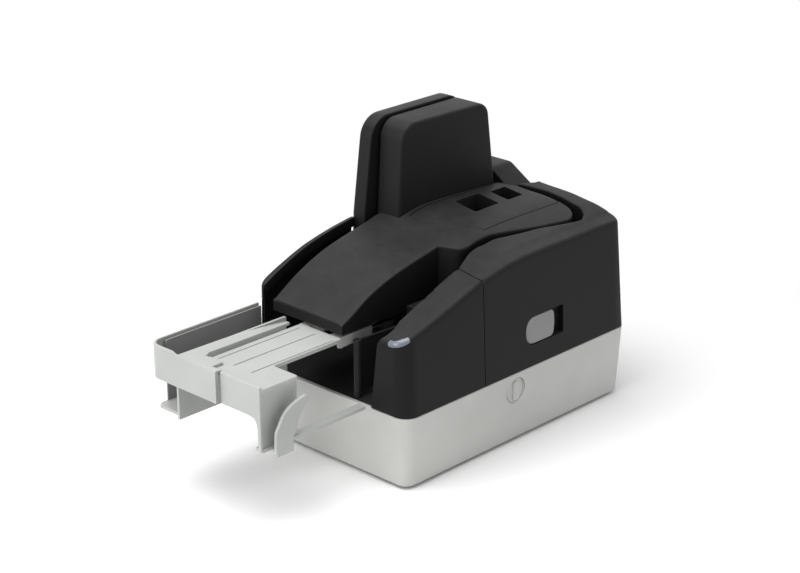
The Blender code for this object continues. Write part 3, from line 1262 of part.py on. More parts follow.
def make_feed_tray():
    low = PLATE_HIGH - PLATE_DEPTH
    ledge_left, ledge_front = APRON_LEFT + SEAM, APRON_FRONT + SEAM
    outline = [(PLATE_LEFT, PLATE_FRONT), (TAB_LEFT, PLATE_FRONT), (TAB_LEFT, TAB_FRONT),
               (ledge_left, TAB_FRONT), (ledge_left, ledge_front), (SHELF_RIGHT, ledge_front),
               (SHELF_RIGHT, SHELF_REAR), (PLATE_RIGHT, SHELF_REAR), (PLATE_RIGHT, TRAY_REAR),
               (PLATE_LEFT, TRAY_REAR)]
    tray = prism(outline, low, PLATE_HIGH)
    for left in LINE_PLACES:
        cut(tray, box((left - LINE_WIDTH / 2, PLATE_FRONT + LINE_WIDTH * 3, PLATE_HIGH - LINE_DEPTH),
                      (left + LINE_WIDTH / 2, LINE_REAR, PLATE_HIGH + OVERRUN)))
    floor_low = FLOOR_TOP - FLOOR_THICKNESS
    apron = box((APRON_LEFT, APRON_FRONT, APRON_LOW), (APRON_RIGHT, APRON_FRONT + TRAY_WALL, APRON_HIGH))
    leg = box((LEG_LEFT, APRON_FRONT, floor_low), (APRON_RIGHT, APRON_FRONT + TRAY_WALL, APRON_LOW + SEAM))
    side = box((LEG_LEFT, APRON_FRONT + TRAY_WALL / 2, floor_low),
               (LEG_LEFT + TRAY_WALL, SHELF_REAR, PLATE_HIGH - PLATE_DEPTH / 2))
    floor = box((SHEET_FLOOR_LEFT, APRON_FRONT + TRAY_WALL / 2, floor_low),
                (SHEET_FLOOR_RIGHT, SHEET_FLOOR_REAR, FLOOR_TOP))
    root = box((LEG_LEFT + SEAM, HOOK_FOOT_FRONT, floor_low),
               (HOOK_LEFT + HOOK_THICKNESS / 2, HOOK_FOOT_REAR, FLOOR_TOP - SEAM))
    hook = side_prism([(y * TRAY_REACH, z * BASE_HEIGHT) for y, z in HOOK_SHARES],
                      HOOK_LEFT, HOOK_LEFT + HOOK_THICKNESS)
    join(tray, apron, leg, side, floor, root, hook)
    for index, left in enumerate(RAIL_LEFTS):
        outer = PLATE_LEFT if index == 0 else left - ARM_LIP - RUNNING_GAP
        right = left + RAIL_WIDTH + RUNNING_GAP + ARM_LIP
        join(tray, box((outer, ARM_FRONT, low), (right, ARM_REAR, PLATE_HIGH)))
        join(tray, box((right - ARM_LIP, ARM_FRONT, ARM_LIP_LOW), (right, ARM_REAR, PLATE_HIGH - SEAM)))
    return node("feed_tray", tray, TRAY_PLASTIC)


def make_rails():
    lefts = RAIL_LEFTS
    rails = None
    for left in lefts:
        bar = box((left, RAIL_FRONT, RAIL_LOW), (left + RAIL_WIDTH, RAIL_REAR, RAIL_HIGH))
        join(bar, box((left, RAIL_POST_FRONT, BED_TOP + GAP),
                      (left + RAIL_WIDTH, RAIL_POST_FRONT + RAIL_POST_DEPTH, RAIL_LOW + SEAM)))
        rails = join(rails, bar) if rails else bar
    join(rails, box((lefts[0] + SEAM, RAIL_REAR - RAIL_POST_DEPTH, RAIL_LOW + SEAM),
                    (lefts[1] + RAIL_WIDTH - SEAM, RAIL_REAR - SEAM, RAIL_HIGH - SEAM)))
    return node("tray_rails", rails, STEEL)


def slot_windows(way):
    """Openings in a slab's slot wall: for its sensor glass and for its rollers."""
    face = sensor_sides()[0 if way < 0 else 1][0]
    return [sensor_window(face, way)] + (drive_windows(TOWER_STATIONS) if way > 0 else [])


def make_covers():
    make_nose_cover(feeder_windows() + [status_light_block(GAP)])
    make_access_cover()
    make_release_button()
    make_hinge_pin()
    make_left_cover()
    make_centre_cover()
    make_cartridge_cover()
    make_rear_cover()
    make_outer_scan_cover(slot_windows(-1))
    make_inner_scan_cover(slot_windows(1))
    node("status_light", status_light_block(0), LIGHT_PLASTIC)


def main():
    make_base_tub()
    make_bottom_plate()
    make_feet_and_screws()
    make_bed(shaft_places())
    make_board_and_sockets()
    make_power_switch()
    make_knob()
    make_covers()
    make_guide()
    make_drive_line()
    make_motors()
    make_feeder()
    make_flap()
    make_sensors()
    make_imprinter()
    make_eject_tray()
    make_guide_panel()
    make_feed_tray()
    make_rails()


clear_scene()
FRAME = bpy.data.objects.new("frame", None)
bpy.context.scene.collection.objects.link(FRAME)
FRAME.location = (-PATH_OFFSET, -(BODY_REAR - TRAY_REACH) / 2, FLOOR_DROP)
main()
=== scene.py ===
# %% [markdown]
# # A cheque scanner for the counter
# The object is a small office machine. A feeder at the right sends each item on edge round a
# centre island, past the scanning tower, and into a tray drawer at the left.
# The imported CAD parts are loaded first. They give every place and size, and the shells that show
# most are then rebuilt over them with finer curves and soft edges.

import json
import math

import bmesh
import bpy
import numpy as np
from mathutils import Matrix, Vector
from mathutils.geometry import delaunay_2d_cdt


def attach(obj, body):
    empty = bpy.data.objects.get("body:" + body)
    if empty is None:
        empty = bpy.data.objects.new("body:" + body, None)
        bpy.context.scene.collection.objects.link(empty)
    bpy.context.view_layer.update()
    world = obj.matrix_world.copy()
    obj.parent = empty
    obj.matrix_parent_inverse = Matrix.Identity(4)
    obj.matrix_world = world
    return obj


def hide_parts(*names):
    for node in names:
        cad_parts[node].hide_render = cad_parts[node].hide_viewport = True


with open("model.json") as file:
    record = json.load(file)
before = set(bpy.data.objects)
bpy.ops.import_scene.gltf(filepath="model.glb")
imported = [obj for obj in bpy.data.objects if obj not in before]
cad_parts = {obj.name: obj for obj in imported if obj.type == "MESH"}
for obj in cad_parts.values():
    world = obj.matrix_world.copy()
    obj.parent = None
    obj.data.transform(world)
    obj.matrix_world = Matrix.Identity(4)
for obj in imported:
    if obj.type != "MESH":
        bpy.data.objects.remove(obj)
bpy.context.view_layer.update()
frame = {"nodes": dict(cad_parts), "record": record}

# %% [markdown]
# ## Millimetres of the machine
# A maker measures such a machine from its own front and from the bottom of its base, in
# millimetres. One shift and one scale take those numbers to the frame, so each length below can be
# read as a length on the real thing.

# %% From the machine's millimetres to the frame
MM = 0.001
FRONT_TO_FRAME = Vector((-1.4, -57.15, 1.8))
LEFT = -60.5
RIGHT = 63.3
FRONT = 1.7
REAR = 199.3
SEAM_HEIGHT = 44.5
SHOULDER_HEIGHT = 128.0
SIDE_LEAN = 3.5
REAR_LEAN = 1.5
BASE_INSET = 2.8
TUB_TOP = 44.2


def to_frame(point):
    """A point of the machine, in millimetres, as a point of the frame in metres."""
    return (Vector(point) + FRONT_TO_FRAME) * MM


# %% [markdown]
# ## Camera
# The photograph looks down on the machine from its front right corner with a long lens. The camera
# stands at that bearing and height, so the render can be laid beside the picture.

# %% Camera
CAMERA_PLACE = (782.07, -749.11, 531.22)
CAMERA_BEARING = 43.94
CAMERA_DIP = 21.28
CAMERA_ROLL = -0.184
CAMERA_LENS = 91.6

camera_data = bpy.data.cameras.new("counter_view")
camera_data.lens = CAMERA_LENS
camera_data.clip_end = 20
camera = bpy.data.objects.new("counter_view", camera_data)
bpy.context.scene.collection.objects.link(camera)
turn = (Matrix.Rotation(math.radians(CAMERA_BEARING), 4, "Z")
        @ Matrix.Rotation(math.radians(90 - CAMERA_DIP), 4, "X")
        @ Matrix.Rotation(math.radians(CAMERA_ROLL), 4, "Z"))
camera.matrix_world = Matrix.Translation(to_frame(CAMERA_PLACE)) @ turn
bpy.context.scene.camera = camera
print("camera distance:", round(camera.location.length, 3), "m")

# %% [markdown]
# ## Light and floor
# A product photograph is taken on a pale ground under large soft lamps. Three area lamps stand in
# for them: a broad one above, one at the front left and a weaker one at the right. The world gives
# the even fill, and the camera, gloss and glass see it as plain white.

# %% Lamps
LAMPS = (
    ("top_softbox", (-0.10, -0.20, 0.98), (0, 0, 0.05), 0.9, 11.0),
    ("front_left_softbox", (-0.35, -1.05, 0.45), (0, 0, 0.06), 0.7, 7.2),
    ("right_softbox", (0.95, 0.10, 0.50), (0, 0, 0.06), 0.7, 1.5),
)


def add_lamp(name, place, aim, size, power):
    """A square area lamp at a place, turned towards what it aims at."""
    data = bpy.data.lights.new(name, "AREA")
    data.size = size
    data.energy = power
    lamp = bpy.data.objects.new(name, data)
    bpy.context.scene.collection.objects.link(lamp)
    lamp.location = place
    lamp.rotation_euler = (Vector(aim) - Vector(place)).to_track_quat("-Z", "Y").to_euler()


for lamp in LAMPS:
    add_lamp(*lamp)
print("lamps:", len(LAMPS))

# %% Node helpers
def add_node(tree, kind, values=None, **settings):
    """A node with its settings, its input values by name or number, and nothing linked yet."""
    made = tree.nodes.new(kind)
    for key, value in settings.items():
        setattr(made, key, value)
    for key, value in (values or {}).items():
        made.inputs[key].default_value = value
    return made


def join_up(tree, *pairs):
    """Link each (output, input) pair."""
    for source, target in pairs:
        tree.links.new(source, target)


# %% World and floor
FILL_STRENGTH = 0.42
FLOOR_WHITE = (0.90, 0.90, 0.90, 1)
FLOOR_SIZE = 6.0
FADE = (0.20, 0.46)

world = bpy.data.worlds.new("studio")
bpy.context.scene.world = world
world.use_nodes = True
sky = world.node_tree
sky.nodes.clear()
seen = add_node(sky, "ShaderNodeBackground", {"Color": (1, 1, 1, 1), "Strength": 1.0})
fill = add_node(sky, "ShaderNodeBackground", {"Color": (1, 1, 1, 1), "Strength": FILL_STRENGTH})
rays = add_node(sky, "ShaderNodeLightPath")
shows = add_node(sky, "ShaderNodeMath", operation="MAXIMUM")
mirrored = add_node(sky, "ShaderNodeMath", operation="MAXIMUM")
mix = add_node(sky, "ShaderNodeMixShader")
output = add_node(sky, "ShaderNodeOutputWorld")
join_up(sky,
        (rays.outputs["Is Camera Ray"], shows.inputs[0]),
        (rays.outputs["Is Transmission Ray"], shows.inputs[1]),
        (shows.outputs[0], mirrored.inputs[0]), (rays.outputs["Is Glossy Ray"], mirrored.inputs[1]),
        (mirrored.outputs[0], mix.inputs["Fac"]), (fill.outputs[0], mix.inputs[1]),
        (seen.outputs[0], mix.inputs[2]), (mix.outputs[0], output.inputs["Surface"]))

floor_mesh = bpy.data.meshes.new("floor")
half = FLOOR_SIZE / 2
floor_mesh.from_pydata([(-half, -half, 0), (half, -half, 0), (half, half, 0), (-half, half, 0)], [],
                       [(0, 1, 2, 3)])
floor = bpy.data.objects.new("floor", floor_mesh)
bpy.context.scene.collection.objects.link(floor)


def pale_ground():
    """A matt pale ground round the object, which fades to plain white for the eye far away."""
    made = bpy.data.materials.new("pale_ground")
    made.use_nodes = True
    tree = made.node_tree
    matt = tree.nodes["Principled BSDF"]
    matt.inputs["Base Color"].default_value = FLOOR_WHITE
    matt.inputs["Roughness"].default_value = 0.9
    matt.inputs["Specular IOR Level"].default_value = 0.1
    place = add_node(tree, "ShaderNodeTexCoord")
    reach = add_node(tree, "ShaderNodeVectorMath", operation="LENGTH")
    fade = add_node(tree, "ShaderNodeMapRange", {"From Min": FADE[0], "From Max": FADE[1]})
    seen_by = add_node(tree, "ShaderNodeLightPath")
    eye = add_node(tree, "ShaderNodeMath", operation="MAXIMUM")
    eyes = add_node(tree, "ShaderNodeMath", operation="MAXIMUM")
    share = add_node(tree, "ShaderNodeMath", operation="MULTIPLY")
    white = add_node(tree, "ShaderNodeEmission", {"Strength": 1.0})
    blend = add_node(tree, "ShaderNodeMixShader")
    join_up(tree,
            (place.outputs["Object"], reach.inputs[0]), (reach.outputs["Value"], fade.inputs["Value"]),
            (seen_by.outputs["Is Camera Ray"], eye.inputs[0]),
            (seen_by.outputs["Is Glossy Ray"], eye.inputs[1]),
            (eye.outputs[0], eyes.inputs[0]), (seen_by.outputs["Is Transmission Ray"], eyes.inputs[1]),
            (fade.outputs[0], share.inputs[0]), (eyes.outputs[0], share.inputs[1]),
            (share.outputs[0], blend.inputs["Fac"]), (matt.outputs[0], blend.inputs[1]),
            (white.outputs[0], blend.inputs[2]),
            (blend.outputs[0], tree.nodes["Material Output"].inputs["Surface"]))
    return made


floor_mesh.materials.append(pale_ground())
bpy.context.scene.view_settings.view_transform = "Standard"

# %% [markdown]
# ## Surface effects that many finishes share
# Moulded plastic is never one flat colour. The mould is spark-eroded, so the skin has a fine
# grain. Handling wears the edges paler, and the same paler edge band is also a painted highlight
# along every rounded edge; a little dust settles on what faces up. Each effect is a node group
# that is built once and then placed in each material with its own values.

# %% New groups
def new_group(name, inputs, outputs):
    """An empty shader node group with float inputs (name, value) and outputs (name, kind)."""
    group = bpy.data.node_groups.new(name, "ShaderNodeTree")
    for label, value in inputs:
        socket = group.interface.new_socket(label, in_out="INPUT", socket_type="NodeSocketFloat")
        socket.default_value = value
    for label, kind in outputs:
        group.interface.new_socket(label, in_out="OUTPUT", socket_type=kind)
    start = group.nodes.new("NodeGroupInput")
    end = group.nodes.new("NodeGroupOutput")
    return group, start, end


# %% Group: moulded grain
def build_grain():
    """Fine spark grain with a slow drift of tone, in the object's own metres."""
    group, start, end = new_group(
        "moulded_grain", [("Cells per metre", 2600.0), ("Drift", 0.08)],
        [("Height", "NodeSocketFloat"), ("Tone", "NodeSocketFloat"), ("Haze", "NodeSocketFloat")])
    place = add_node(group, "ShaderNodeTexCoord")
    fine = add_node(group, "ShaderNodeTexNoise", {"Detail": 3.0, "Roughness": 0.6})
    slow = add_node(group, "ShaderNodeTexNoise", {"Scale": 22.0, "Detail": 4.0})
    tone = add_node(group, "ShaderNodeMapRange", {"From Min": 0.3, "From Max": 0.7})
    less = add_node(group, "ShaderNodeMath", {0: 1.0}, operation="SUBTRACT")
    more = add_node(group, "ShaderNodeMath", {0: 1.0}, operation="ADD")
    join_up(group,
            (place.outputs["Object"], fine.inputs["Vector"]),
            (place.outputs["Object"], slow.inputs["Vector"]),
            (start.outputs["Cells per metre"], fine.inputs["Scale"]),
            (start.outputs["Drift"], less.inputs[1]), (start.outputs["Drift"], more.inputs[1]),
            (slow.outputs["Fac"], tone.inputs["Value"]),
            (less.outputs[0], tone.inputs["To Min"]), (more.outputs[0], tone.inputs["To Max"]),
            (fine.outputs["Fac"], end.inputs["Height"]), (tone.outputs[0], end.inputs["Tone"]),
            (slow.outputs["Fac"], end.inputs["Haze"]))
    return group


# %% Group: edge wear and painted edge highlight
def build_edge_wear_and_highlight():
    """Where a bevelled normal leaves the flat one, the edge goes paler: partly wear, partly a painted
    highlight.
    """
    group, start, end = new_group("edge_wear_and_highlight", [("Width", 0.0008), ("Amount", 1.0)],
                                  [("Mask", "NodeSocketFloat")])
    soft = add_node(group, "ShaderNodeBevel", samples=4)
    face = add_node(group, "ShaderNodeNewGeometry")
    meet = add_node(group, "ShaderNodeVectorMath", operation="DOT_PRODUCT")
    band = add_node(group, "ShaderNodeMapRange", {"From Min": 0.985, "From Max": 0.80})
    place = add_node(group, "ShaderNodeTexCoord")
    patchy = add_node(group, "ShaderNodeTexNoise", {"Scale": 160.0, "Detail": 3.0})
    broken = add_node(group, "ShaderNodeMath", operation="MULTIPLY")
    share = add_node(group, "ShaderNodeMath", operation="MULTIPLY", use_clamp=True)
    join_up(group,
            (start.outputs["Width"], soft.inputs["Radius"]),
            (soft.outputs["Normal"], meet.inputs[0]), (face.outputs["Normal"], meet.inputs[1]),
            (meet.outputs["Value"], band.inputs["Value"]),
            (place.outputs["Object"], patchy.inputs["Vector"]),
            (band.outputs[0], broken.inputs[0]), (patchy.outputs["Fac"], broken.inputs[1]),
            (broken.outputs[0], share.inputs[0]), (start.outputs["Amount"], share.inputs[1]),
            (share.outputs[0], end.inputs["Mask"]))
    return group


# %% Group: settled dust
def build_dust():
    """A thin film on faces that look up, broken by noise."""
    group, start, end = new_group("settled_dust", [("Amount", 0.1)], [("Mask", "NodeSocketFloat")])
    face = add_node(group, "ShaderNodeNewGeometry")
    split = add_node(group, "ShaderNodeSeparateXYZ")
    level = add_node(group, "ShaderNodeMapRange", {"From Min": 0.55, "From Max": 1.0})
    place = add_node(group, "ShaderNodeTexCoord")
    cloud = add_node(group, "ShaderNodeTexNoise", {"Scale": 90.0, "Detail": 6.0, "Roughness": 0.7})
    broken = add_node(group, "ShaderNodeMath", operation="MULTIPLY")
    share = add_node(group, "ShaderNodeMath", operation="MULTIPLY", use_clamp=True)
    join_up(group,
            (face.outputs["Normal"], split.inputs[0]), (split.outputs["Z"], level.inputs["Value"]),
            (place.outputs["Object"], cloud.inputs["Vector"]),
            (level.outputs[0], broken.inputs[0]), (cloud.outputs["Fac"], broken.inputs[1]),
            (broken.outputs[0], share.inputs[0]), (start.outputs["Amount"], share.inputs[1]),
            (share.outputs[0], end.inputs["Mask"]))
    return group


GRAIN = build_grain()
EDGE_WEAR_AND_HIGHLIGHT = build_edge_wear_and_highlight()
DUST = build_dust()
print("shared effects:", GRAIN.name, EDGE_WEAR_AND_HIGHLIGHT.name, DUST.name)

# %% [markdown]
# ## Finishes
# One recipe makes every moulded finish: a base colour drifts a little, edges go paler (wear and
# a painted highlight), dust greys the tops, and the grain drives a bump. The values tell a satin
# light grey base from a matt black cover. Metals use the same recipe with their own grain and no dust.

# %% The moulded finish
DUST_COLOUR = (0.32, 0.31, 0.29, 1)
GLOSS_SWING = 0.05
GLOW_STRENGTH = 0.15


def finish_of(name, colour, roughness, cells=2600.0, depth=0.00002, drift=0.08, wear_and_highlight=0.5,
              wear_and_highlight_colour=None, dust=0.1, metallic=0.0, coat=0.0, glow=None, gleam=0.5):
    """A Principled material with grain, paler edges (wear and a painted highlight) and dust from the shared
    groups.
    """
    made = bpy.data.materials.new(name)
    made.use_nodes = True
    tree = made.node_tree
    shader = tree.nodes["Principled BSDF"]
    shader.inputs["Metallic"].default_value = metallic
    shader.inputs["Specular IOR Level"].default_value = gleam
    shader.inputs["Coat Weight"].default_value = coat
    grain = add_node(tree, "ShaderNodeGroup", node_tree=GRAIN)
    grain.inputs["Cells per metre"].default_value = cells
    grain.inputs["Drift"].default_value = drift
    edge = add_node(tree, "ShaderNodeGroup", node_tree=EDGE_WEAR_AND_HIGHLIGHT)
    edge.inputs["Amount"].default_value = wear_and_highlight
    film = add_node(tree, "ShaderNodeGroup", node_tree=DUST)
    film.inputs["Amount"].default_value = dust
    drifted = add_node(tree, "ShaderNodeMix", {"Factor": 1.0}, data_type="RGBA", blend_type="MULTIPLY")
    drifted.inputs[6].default_value = (*colour, 1)
    # The paler edge colour is partly wear and partly a painted highlight along the rounded edges.
    wear_and_highlight_mix = add_node(tree, "ShaderNodeMix", data_type="RGBA")
    pale = wear_and_highlight_colour or tuple(min(1.0, value * 1.8 + 0.02) for value in colour)
    wear_and_highlight_mix.inputs[7].default_value = (*pale, 1)
    dusty = add_node(tree, "ShaderNodeMix", data_type="RGBA")
    dusty.inputs[7].default_value = DUST_COLOUR
    gloss = add_node(tree, "ShaderNodeMapRange", {"From Min": 0.3, "From Max": 0.7})
    gloss.inputs["To Min"].default_value = roughness - GLOSS_SWING
    gloss.inputs["To Max"].default_value = roughness + GLOSS_SWING
    bump = add_node(tree, "ShaderNodeBump", {"Strength": 0.6, "Distance": depth})
    join_up(tree,
            (grain.outputs["Tone"], drifted.inputs[7]), (drifted.outputs[2], wear_and_highlight_mix.inputs[6]),
            (edge.outputs["Mask"], wear_and_highlight_mix.inputs["Factor"]), (wear_and_highlight_mix.outputs[2], dusty.inputs[6]),
            (film.outputs["Mask"], dusty.inputs["Factor"]), (dusty.outputs[2], shader.inputs["Base Color"]),
            (grain.outputs["Haze"], gloss.inputs["Value"]), (gloss.outputs[0], shader.inputs["Roughness"]),
            (grain.outputs["Height"], bump.inputs["Height"]), (bump.outputs[0], shader.inputs["Normal"]))
    if glow:
        shader.inputs["Emission Color"].default_value = (*glow, 1)
        shader.inputs["Emission Strength"].default_value = GLOW_STRENGTH
    return made


# %% The finishes of this machine
FINISHES = {
    "base_plastic": finish_of("satin_light_grey", (0.46, 0.46, 0.445), 0.42, 1900.0, wear_and_highlight=0.25, dust=0.05),
    # The black's edges turn five times paler: wear, and a painted highlight on its rounded edges.
    "black_plastic": finish_of("textured_black", (0.008, 0.008, 0.0085), 0.48, 2400.0, 0.00004, wear_and_highlight=0.3,
                               wear_and_highlight_colour=(0.04, 0.04, 0.042), dust=0.08, gleam=0.12),
    "tray_plastic": finish_of("tray_light_grey", (0.36, 0.37, 0.355), 0.40, 2100.0, wear_and_highlight=0.2, dust=0.04),
    "grey_plastic": finish_of("button_grey", (0.20, 0.20, 0.20), 0.42, 2200.0, wear_and_highlight=0.3, dust=0.03),
    "dark_plastic": finish_of("matt_near_black", (0.008, 0.008, 0.009), 0.62, 2200.0, wear_and_highlight=0.2, dust=0.03,
                              gleam=0.3),
    "light_plastic": finish_of("milky_light_window", (0.11, 0.12, 0.15), 0.25, 900.0, 0.000005, wear_and_highlight=0.1,
                               dust=0.0, coat=0.2, glow=(0.10, 0.115, 0.15)),
    "rubber": finish_of("matt_rubber", (0.018, 0.018, 0.018), 0.85, 3200.0, 0.00006, wear_and_highlight=0.3, dust=0.15),
    "steel": finish_of("bright_steel", (0.58, 0.58, 0.60), 0.28, 5200.0, 0.00001, drift=0.04, wear_and_highlight=0.3,
                       dust=0.02, metallic=1.0),
    "brass": finish_of("turned_brass", (0.72, 0.55, 0.26), 0.32, 5200.0, 0.00001, drift=0.05, wear_and_highlight=0.3,
                       dust=0.02, metallic=1.0),
    "circuit_board": finish_of("lacquered_board", (0.015, 0.14, 0.06), 0.35, 1500.0, wear_and_highlight=0.1, dust=0.1,
                               coat=0.3),
}


def clear_glass():
    """Clear glass with a plain transmission and a faint smear in its roughness."""
    made = bpy.data.materials.new("clear_glass")
    made.use_nodes = True
    tree = made.node_tree
    shader = tree.nodes["Principled BSDF"]
    shader.inputs["Base Color"].default_value = (0.86, 0.92, 0.93, 1)
    shader.inputs["Transmission Weight"].default_value = 1.0
    shader.inputs["IOR"].default_value = 1.5
    smear = add_node(tree, "ShaderNodeGroup", node_tree=DUST)
    smear.inputs["Amount"].default_value = 0.3
    haze = add_node(tree, "ShaderNodeMapRange", {"To Min": 0.03, "To Max": 0.15})
    join_up(tree, (smear.outputs["Mask"], haze.inputs["Value"]),
            (haze.outputs[0], shader.inputs["Roughness"]))
    return made


FINISHES["glass"] = clear_glass()
print("finishes:", ", ".join(sorted(FINISHES)))

# %% [markdown]
# ## CAD nodes that keep their shape
# Rollers, shafts, screws and sockets already have their real shape. They keep their mesh, take the
# finish of their slot, and get a small bevel so that no edge is knife sharp.

# %% Dress the CAD nodes
NODE_BEVEL = 0.0003
WELD = 0.000002
SHARP_FROM = math.radians(35)
SLOT_OF = {row["node"]: row["material_slot"] for row in frame["record"]["subparts"]}


def soften(thing, width=NODE_BEVEL, segments=2):
    """Weld loose corners, round the sharp edges and shade smooth between them."""
    weld = thing.modifiers.new("weld", "WELD")
    weld.merge_threshold = WELD
    bevel = thing.modifiers.new("bevel", "BEVEL")
    bevel.width = width
    bevel.segments = segments
    bevel.limit_method = "ANGLE"
    bevel.angle_limit = SHARP_FROM
    bevel.harden_normals = True


for name, thing in frame["nodes"].items():
    thing.data.materials.clear()
    thing.data.materials.append(FINISHES[SLOT_OF[name]])
    soften(thing)
print("dressed nodes:", len(SLOT_OF))

# %% [markdown]
# ## Curves and thin mouldings
# A moulded cover is a thin wall under a crowned top. It could be sculpted or cut from a plain box.
# Here it is grown from its plan outline: walls go straight up with a little draft, and the top
# follows one height map that all covers share, so that their surfaces run on from one to the next.
# Each stretch of the outline has its own shoulder radius: wide outside, small beside the path.

# %% Outlines
FOLD = 0.97


def fill_in(points, step=2.5):
    """The same open run with points added, so that none of its steps is longer than step."""
    run = [points[0]]
    for before, after in zip(points, points[1:]):
        count = max(1, math.ceil(math.dist(before, after) / step))
        for index in range(1, count + 1):
            share = index / count
            run.append((before[0] + (after[0] - before[0]) * share,
                        before[1] + (after[1] - before[1]) * share))
    return run


def flow(points, pieces=6):
    """A smooth curve through the points (Catmull-Rom), open at both ends."""
    ends = [points[0]] + list(points) + [points[-1]]
    run = [tuple(points[0])]
    for a, b, c, d in zip(ends, ends[1:], ends[2:], ends[3:]):
        a, b, c, d = (np.array(point, dtype=float) for point in (a, b, c, d))
        for index in range(1, pieces + 1):
            t = index / pieces
            place = (2 * b + (c - a) * t + (2 * a - 5 * b + 4 * c - d) * t ** 2
                     + (3 * b - a - 3 * c + d) * t ** 3) / 2
            run.append(tuple(place))
    return run


def arc(centre, radius, start, end, steps=10):
    """Points on a round stretch, between two angles in degrees."""
    return [(centre[0] + radius * math.cos(math.radians(start + (end - start) * index / steps)),
             centre[1] + radius * math.sin(math.radians(start + (end - start) * index / steps)))
            for index in range(steps + 1)]


def rounded(corners, steps=6):
    """A closed outline from (u, v, radius) corners, each turned into an arc."""
    outline = []
    for index, (u, v, radius) in enumerate(corners):
        here = Vector((u, v))
        before = Vector(corners[index - 1][:2]) - here
        after = Vector(corners[(index + 1) % len(corners)][:2]) - here
        if not radius:
            outline.append((u, v))
            continue
        half_angle = before.angle(after) / 2
        bisector = (before.normalized() + after.normalized()).normalized()
        middle = here + bisector * radius / math.sin(half_angle)
        first = here + before.normalized() * radius / math.tan(half_angle) - middle
        last = here + after.normalized() * radius / math.tan(half_angle) - middle
        turn_by = first.angle_signed(last)
        for step in range(steps + 1):
            outline.append(tuple(middle + Matrix.Rotation(-turn_by * step / steps, 2) @ first))
    return outline


def box_outline(low, high, radius, steps=6):
    """A rectangle between two corners, with round corners."""
    corners = ((*low, radius), (high[0], low[1], radius), (*high, radius), (low[0], high[1], radius))
    return rounded(corners, steps)


def offset_all(outline, amount):
    """Every point of a closed outline moved inwards, whichever way round it runs."""
    area = sum(a[0] * b[1] - b[0] * a[1] for a, b in zip(outline, list(outline[1:]) + [outline[0]]))
    way = 1 if area > 0 else -1
    moved = []
    for index, here in enumerate(outline):
        here = Vector(here)
        first = (here - Vector(outline[index - 1])).normalized()
        second = (Vector(outline[(index + 1) % len(outline)]) - here).normalized()
        mitre = Vector((-first.y - second.y, first.x + second.x)) * way
        moved.append(tuple(here + mitre * 2 * amount / max(mitre.length_squared, 1)))
    return moved


def shrink(outline, amount):
    """The same move for a rounded loop; points that fold over are dropped."""
    moved = offset_all(outline, amount)
    kept = distance_to(moved, list(outline) + [outline[0]]) > amount * FOLD
    return [point for point, keep in zip(moved, kept) if keep]


def distance_to(points, line):
    """Distance of each plan point to an open run."""
    points = np.array(points, dtype=float)
    best = np.full(len(points), np.inf)
    for start, end in zip(line, line[1:]):
        start, span = np.array(start), np.array(end) - np.array(start)
        share = np.clip(((points - start) @ span) / max(span @ span, 1e-9), 0, 1)
        best = np.minimum(best, np.linalg.norm(points - start - share[:, None] * span, axis=1))
    return best


def inside(points, outline):
    """Which plan points lie inside a closed outline."""
    points = np.array(points, dtype=float)
    result = np.zeros(len(points), dtype=bool)
    for (x1, y1), (x2, y2) in zip(outline, list(outline[1:]) + [outline[0]]):
        if y1 != y2:
            crosses = (y1 > points[:, 1]) != (y2 > points[:, 1])
            result ^= crosses & (points[:, 0] < (x2 - x1) * (points[:, 1] - y1) / (y2 - y1) + x1)
    return result


# %% The height map of the crowned tops
CROWN_STATIONS = (-57, -42, -22, 0, 19, 30, 40, 50, 60.5)
CROWN_ROWS = (-8, 0, 5, 20, 40, 70, 110, 150, 200)
CROWN_HEIGHTS = (
    (93.2, 91.2, 91.0, 90.8, 90.2, 89.0, 88.4, 89.5, 90.0),
    (94.0, 92.0, 91.8, 91.5, 91.0, 90.0, 89.0, 90.0, 90.5),
    (97.0, 95.0, 94.5, 94.0, 93.0, 91.5, 90.0, 91.0, 91.7),
    (104.0, 103.5, 103.0, 102.3, 101.5, 98.5, 95.0, 95.6, 95.7),
    (111.3, 111.5, 111.0, 110.0, 108.5, 105.0, 101.8, 101.7, 101.6),
    (117.5, 118.5, 118.0, 117.0, 115.0, 113.0, 111.0, 110.5, 110.2),
    (122.0, 126.0, 127.5, 124.0, 121.8, 119.2, 117.2, 116.2, 115.3),
    (122.0, 126.0, 127.0, 124.5, 122.6, 120.5, 118.6, 117.2, 115.6),
    (122.0, 126.0, 126.0, 124.3, 123.4, 122.0, 120.6, 118.0, 115.8),
)


def through(knots, values, place):
    """Monotone cubic curves through values over knots, each read at its own place."""
    knots = np.array(knots, dtype=float)
    steps = np.diff(knots)
    slopes = np.diff(values, axis=0) / steps[:, None]
    inner = np.zeros_like(values)
    same = slopes[:-1] * slopes[1:] > 0
    weight_a, weight_b = steps[1:] * 2 + steps[:-1], steps[1:] + steps[:-1] * 2
    safe_a, safe_b = np.where(same, slopes[:-1], 1), np.where(same, slopes[1:], 1)
    mean = (weight_a + weight_b)[:, None] / (weight_a[:, None] / safe_a + weight_b[:, None] / safe_b)
    inner[1:-1] = np.where(same, mean, 0)
    inner[0], inner[-1] = slopes[0], slopes[-1]
    cell = np.clip(np.searchsorted(knots, place) - 1, 0, len(steps) - 1)
    width = steps[cell]
    t = np.clip((place - knots[cell]) / width, 0, 1)
    column = np.arange(values.shape[1])
    low, high = values[cell, column], values[cell + 1, column]
    return (low * (1 + 2 * t) * (1 - t) ** 2 + high * t ** 2 * (3 - 2 * t)
            + width * t * (1 - t) * (inner[cell, column] * (1 - t) - inner[cell + 1, column] * t))


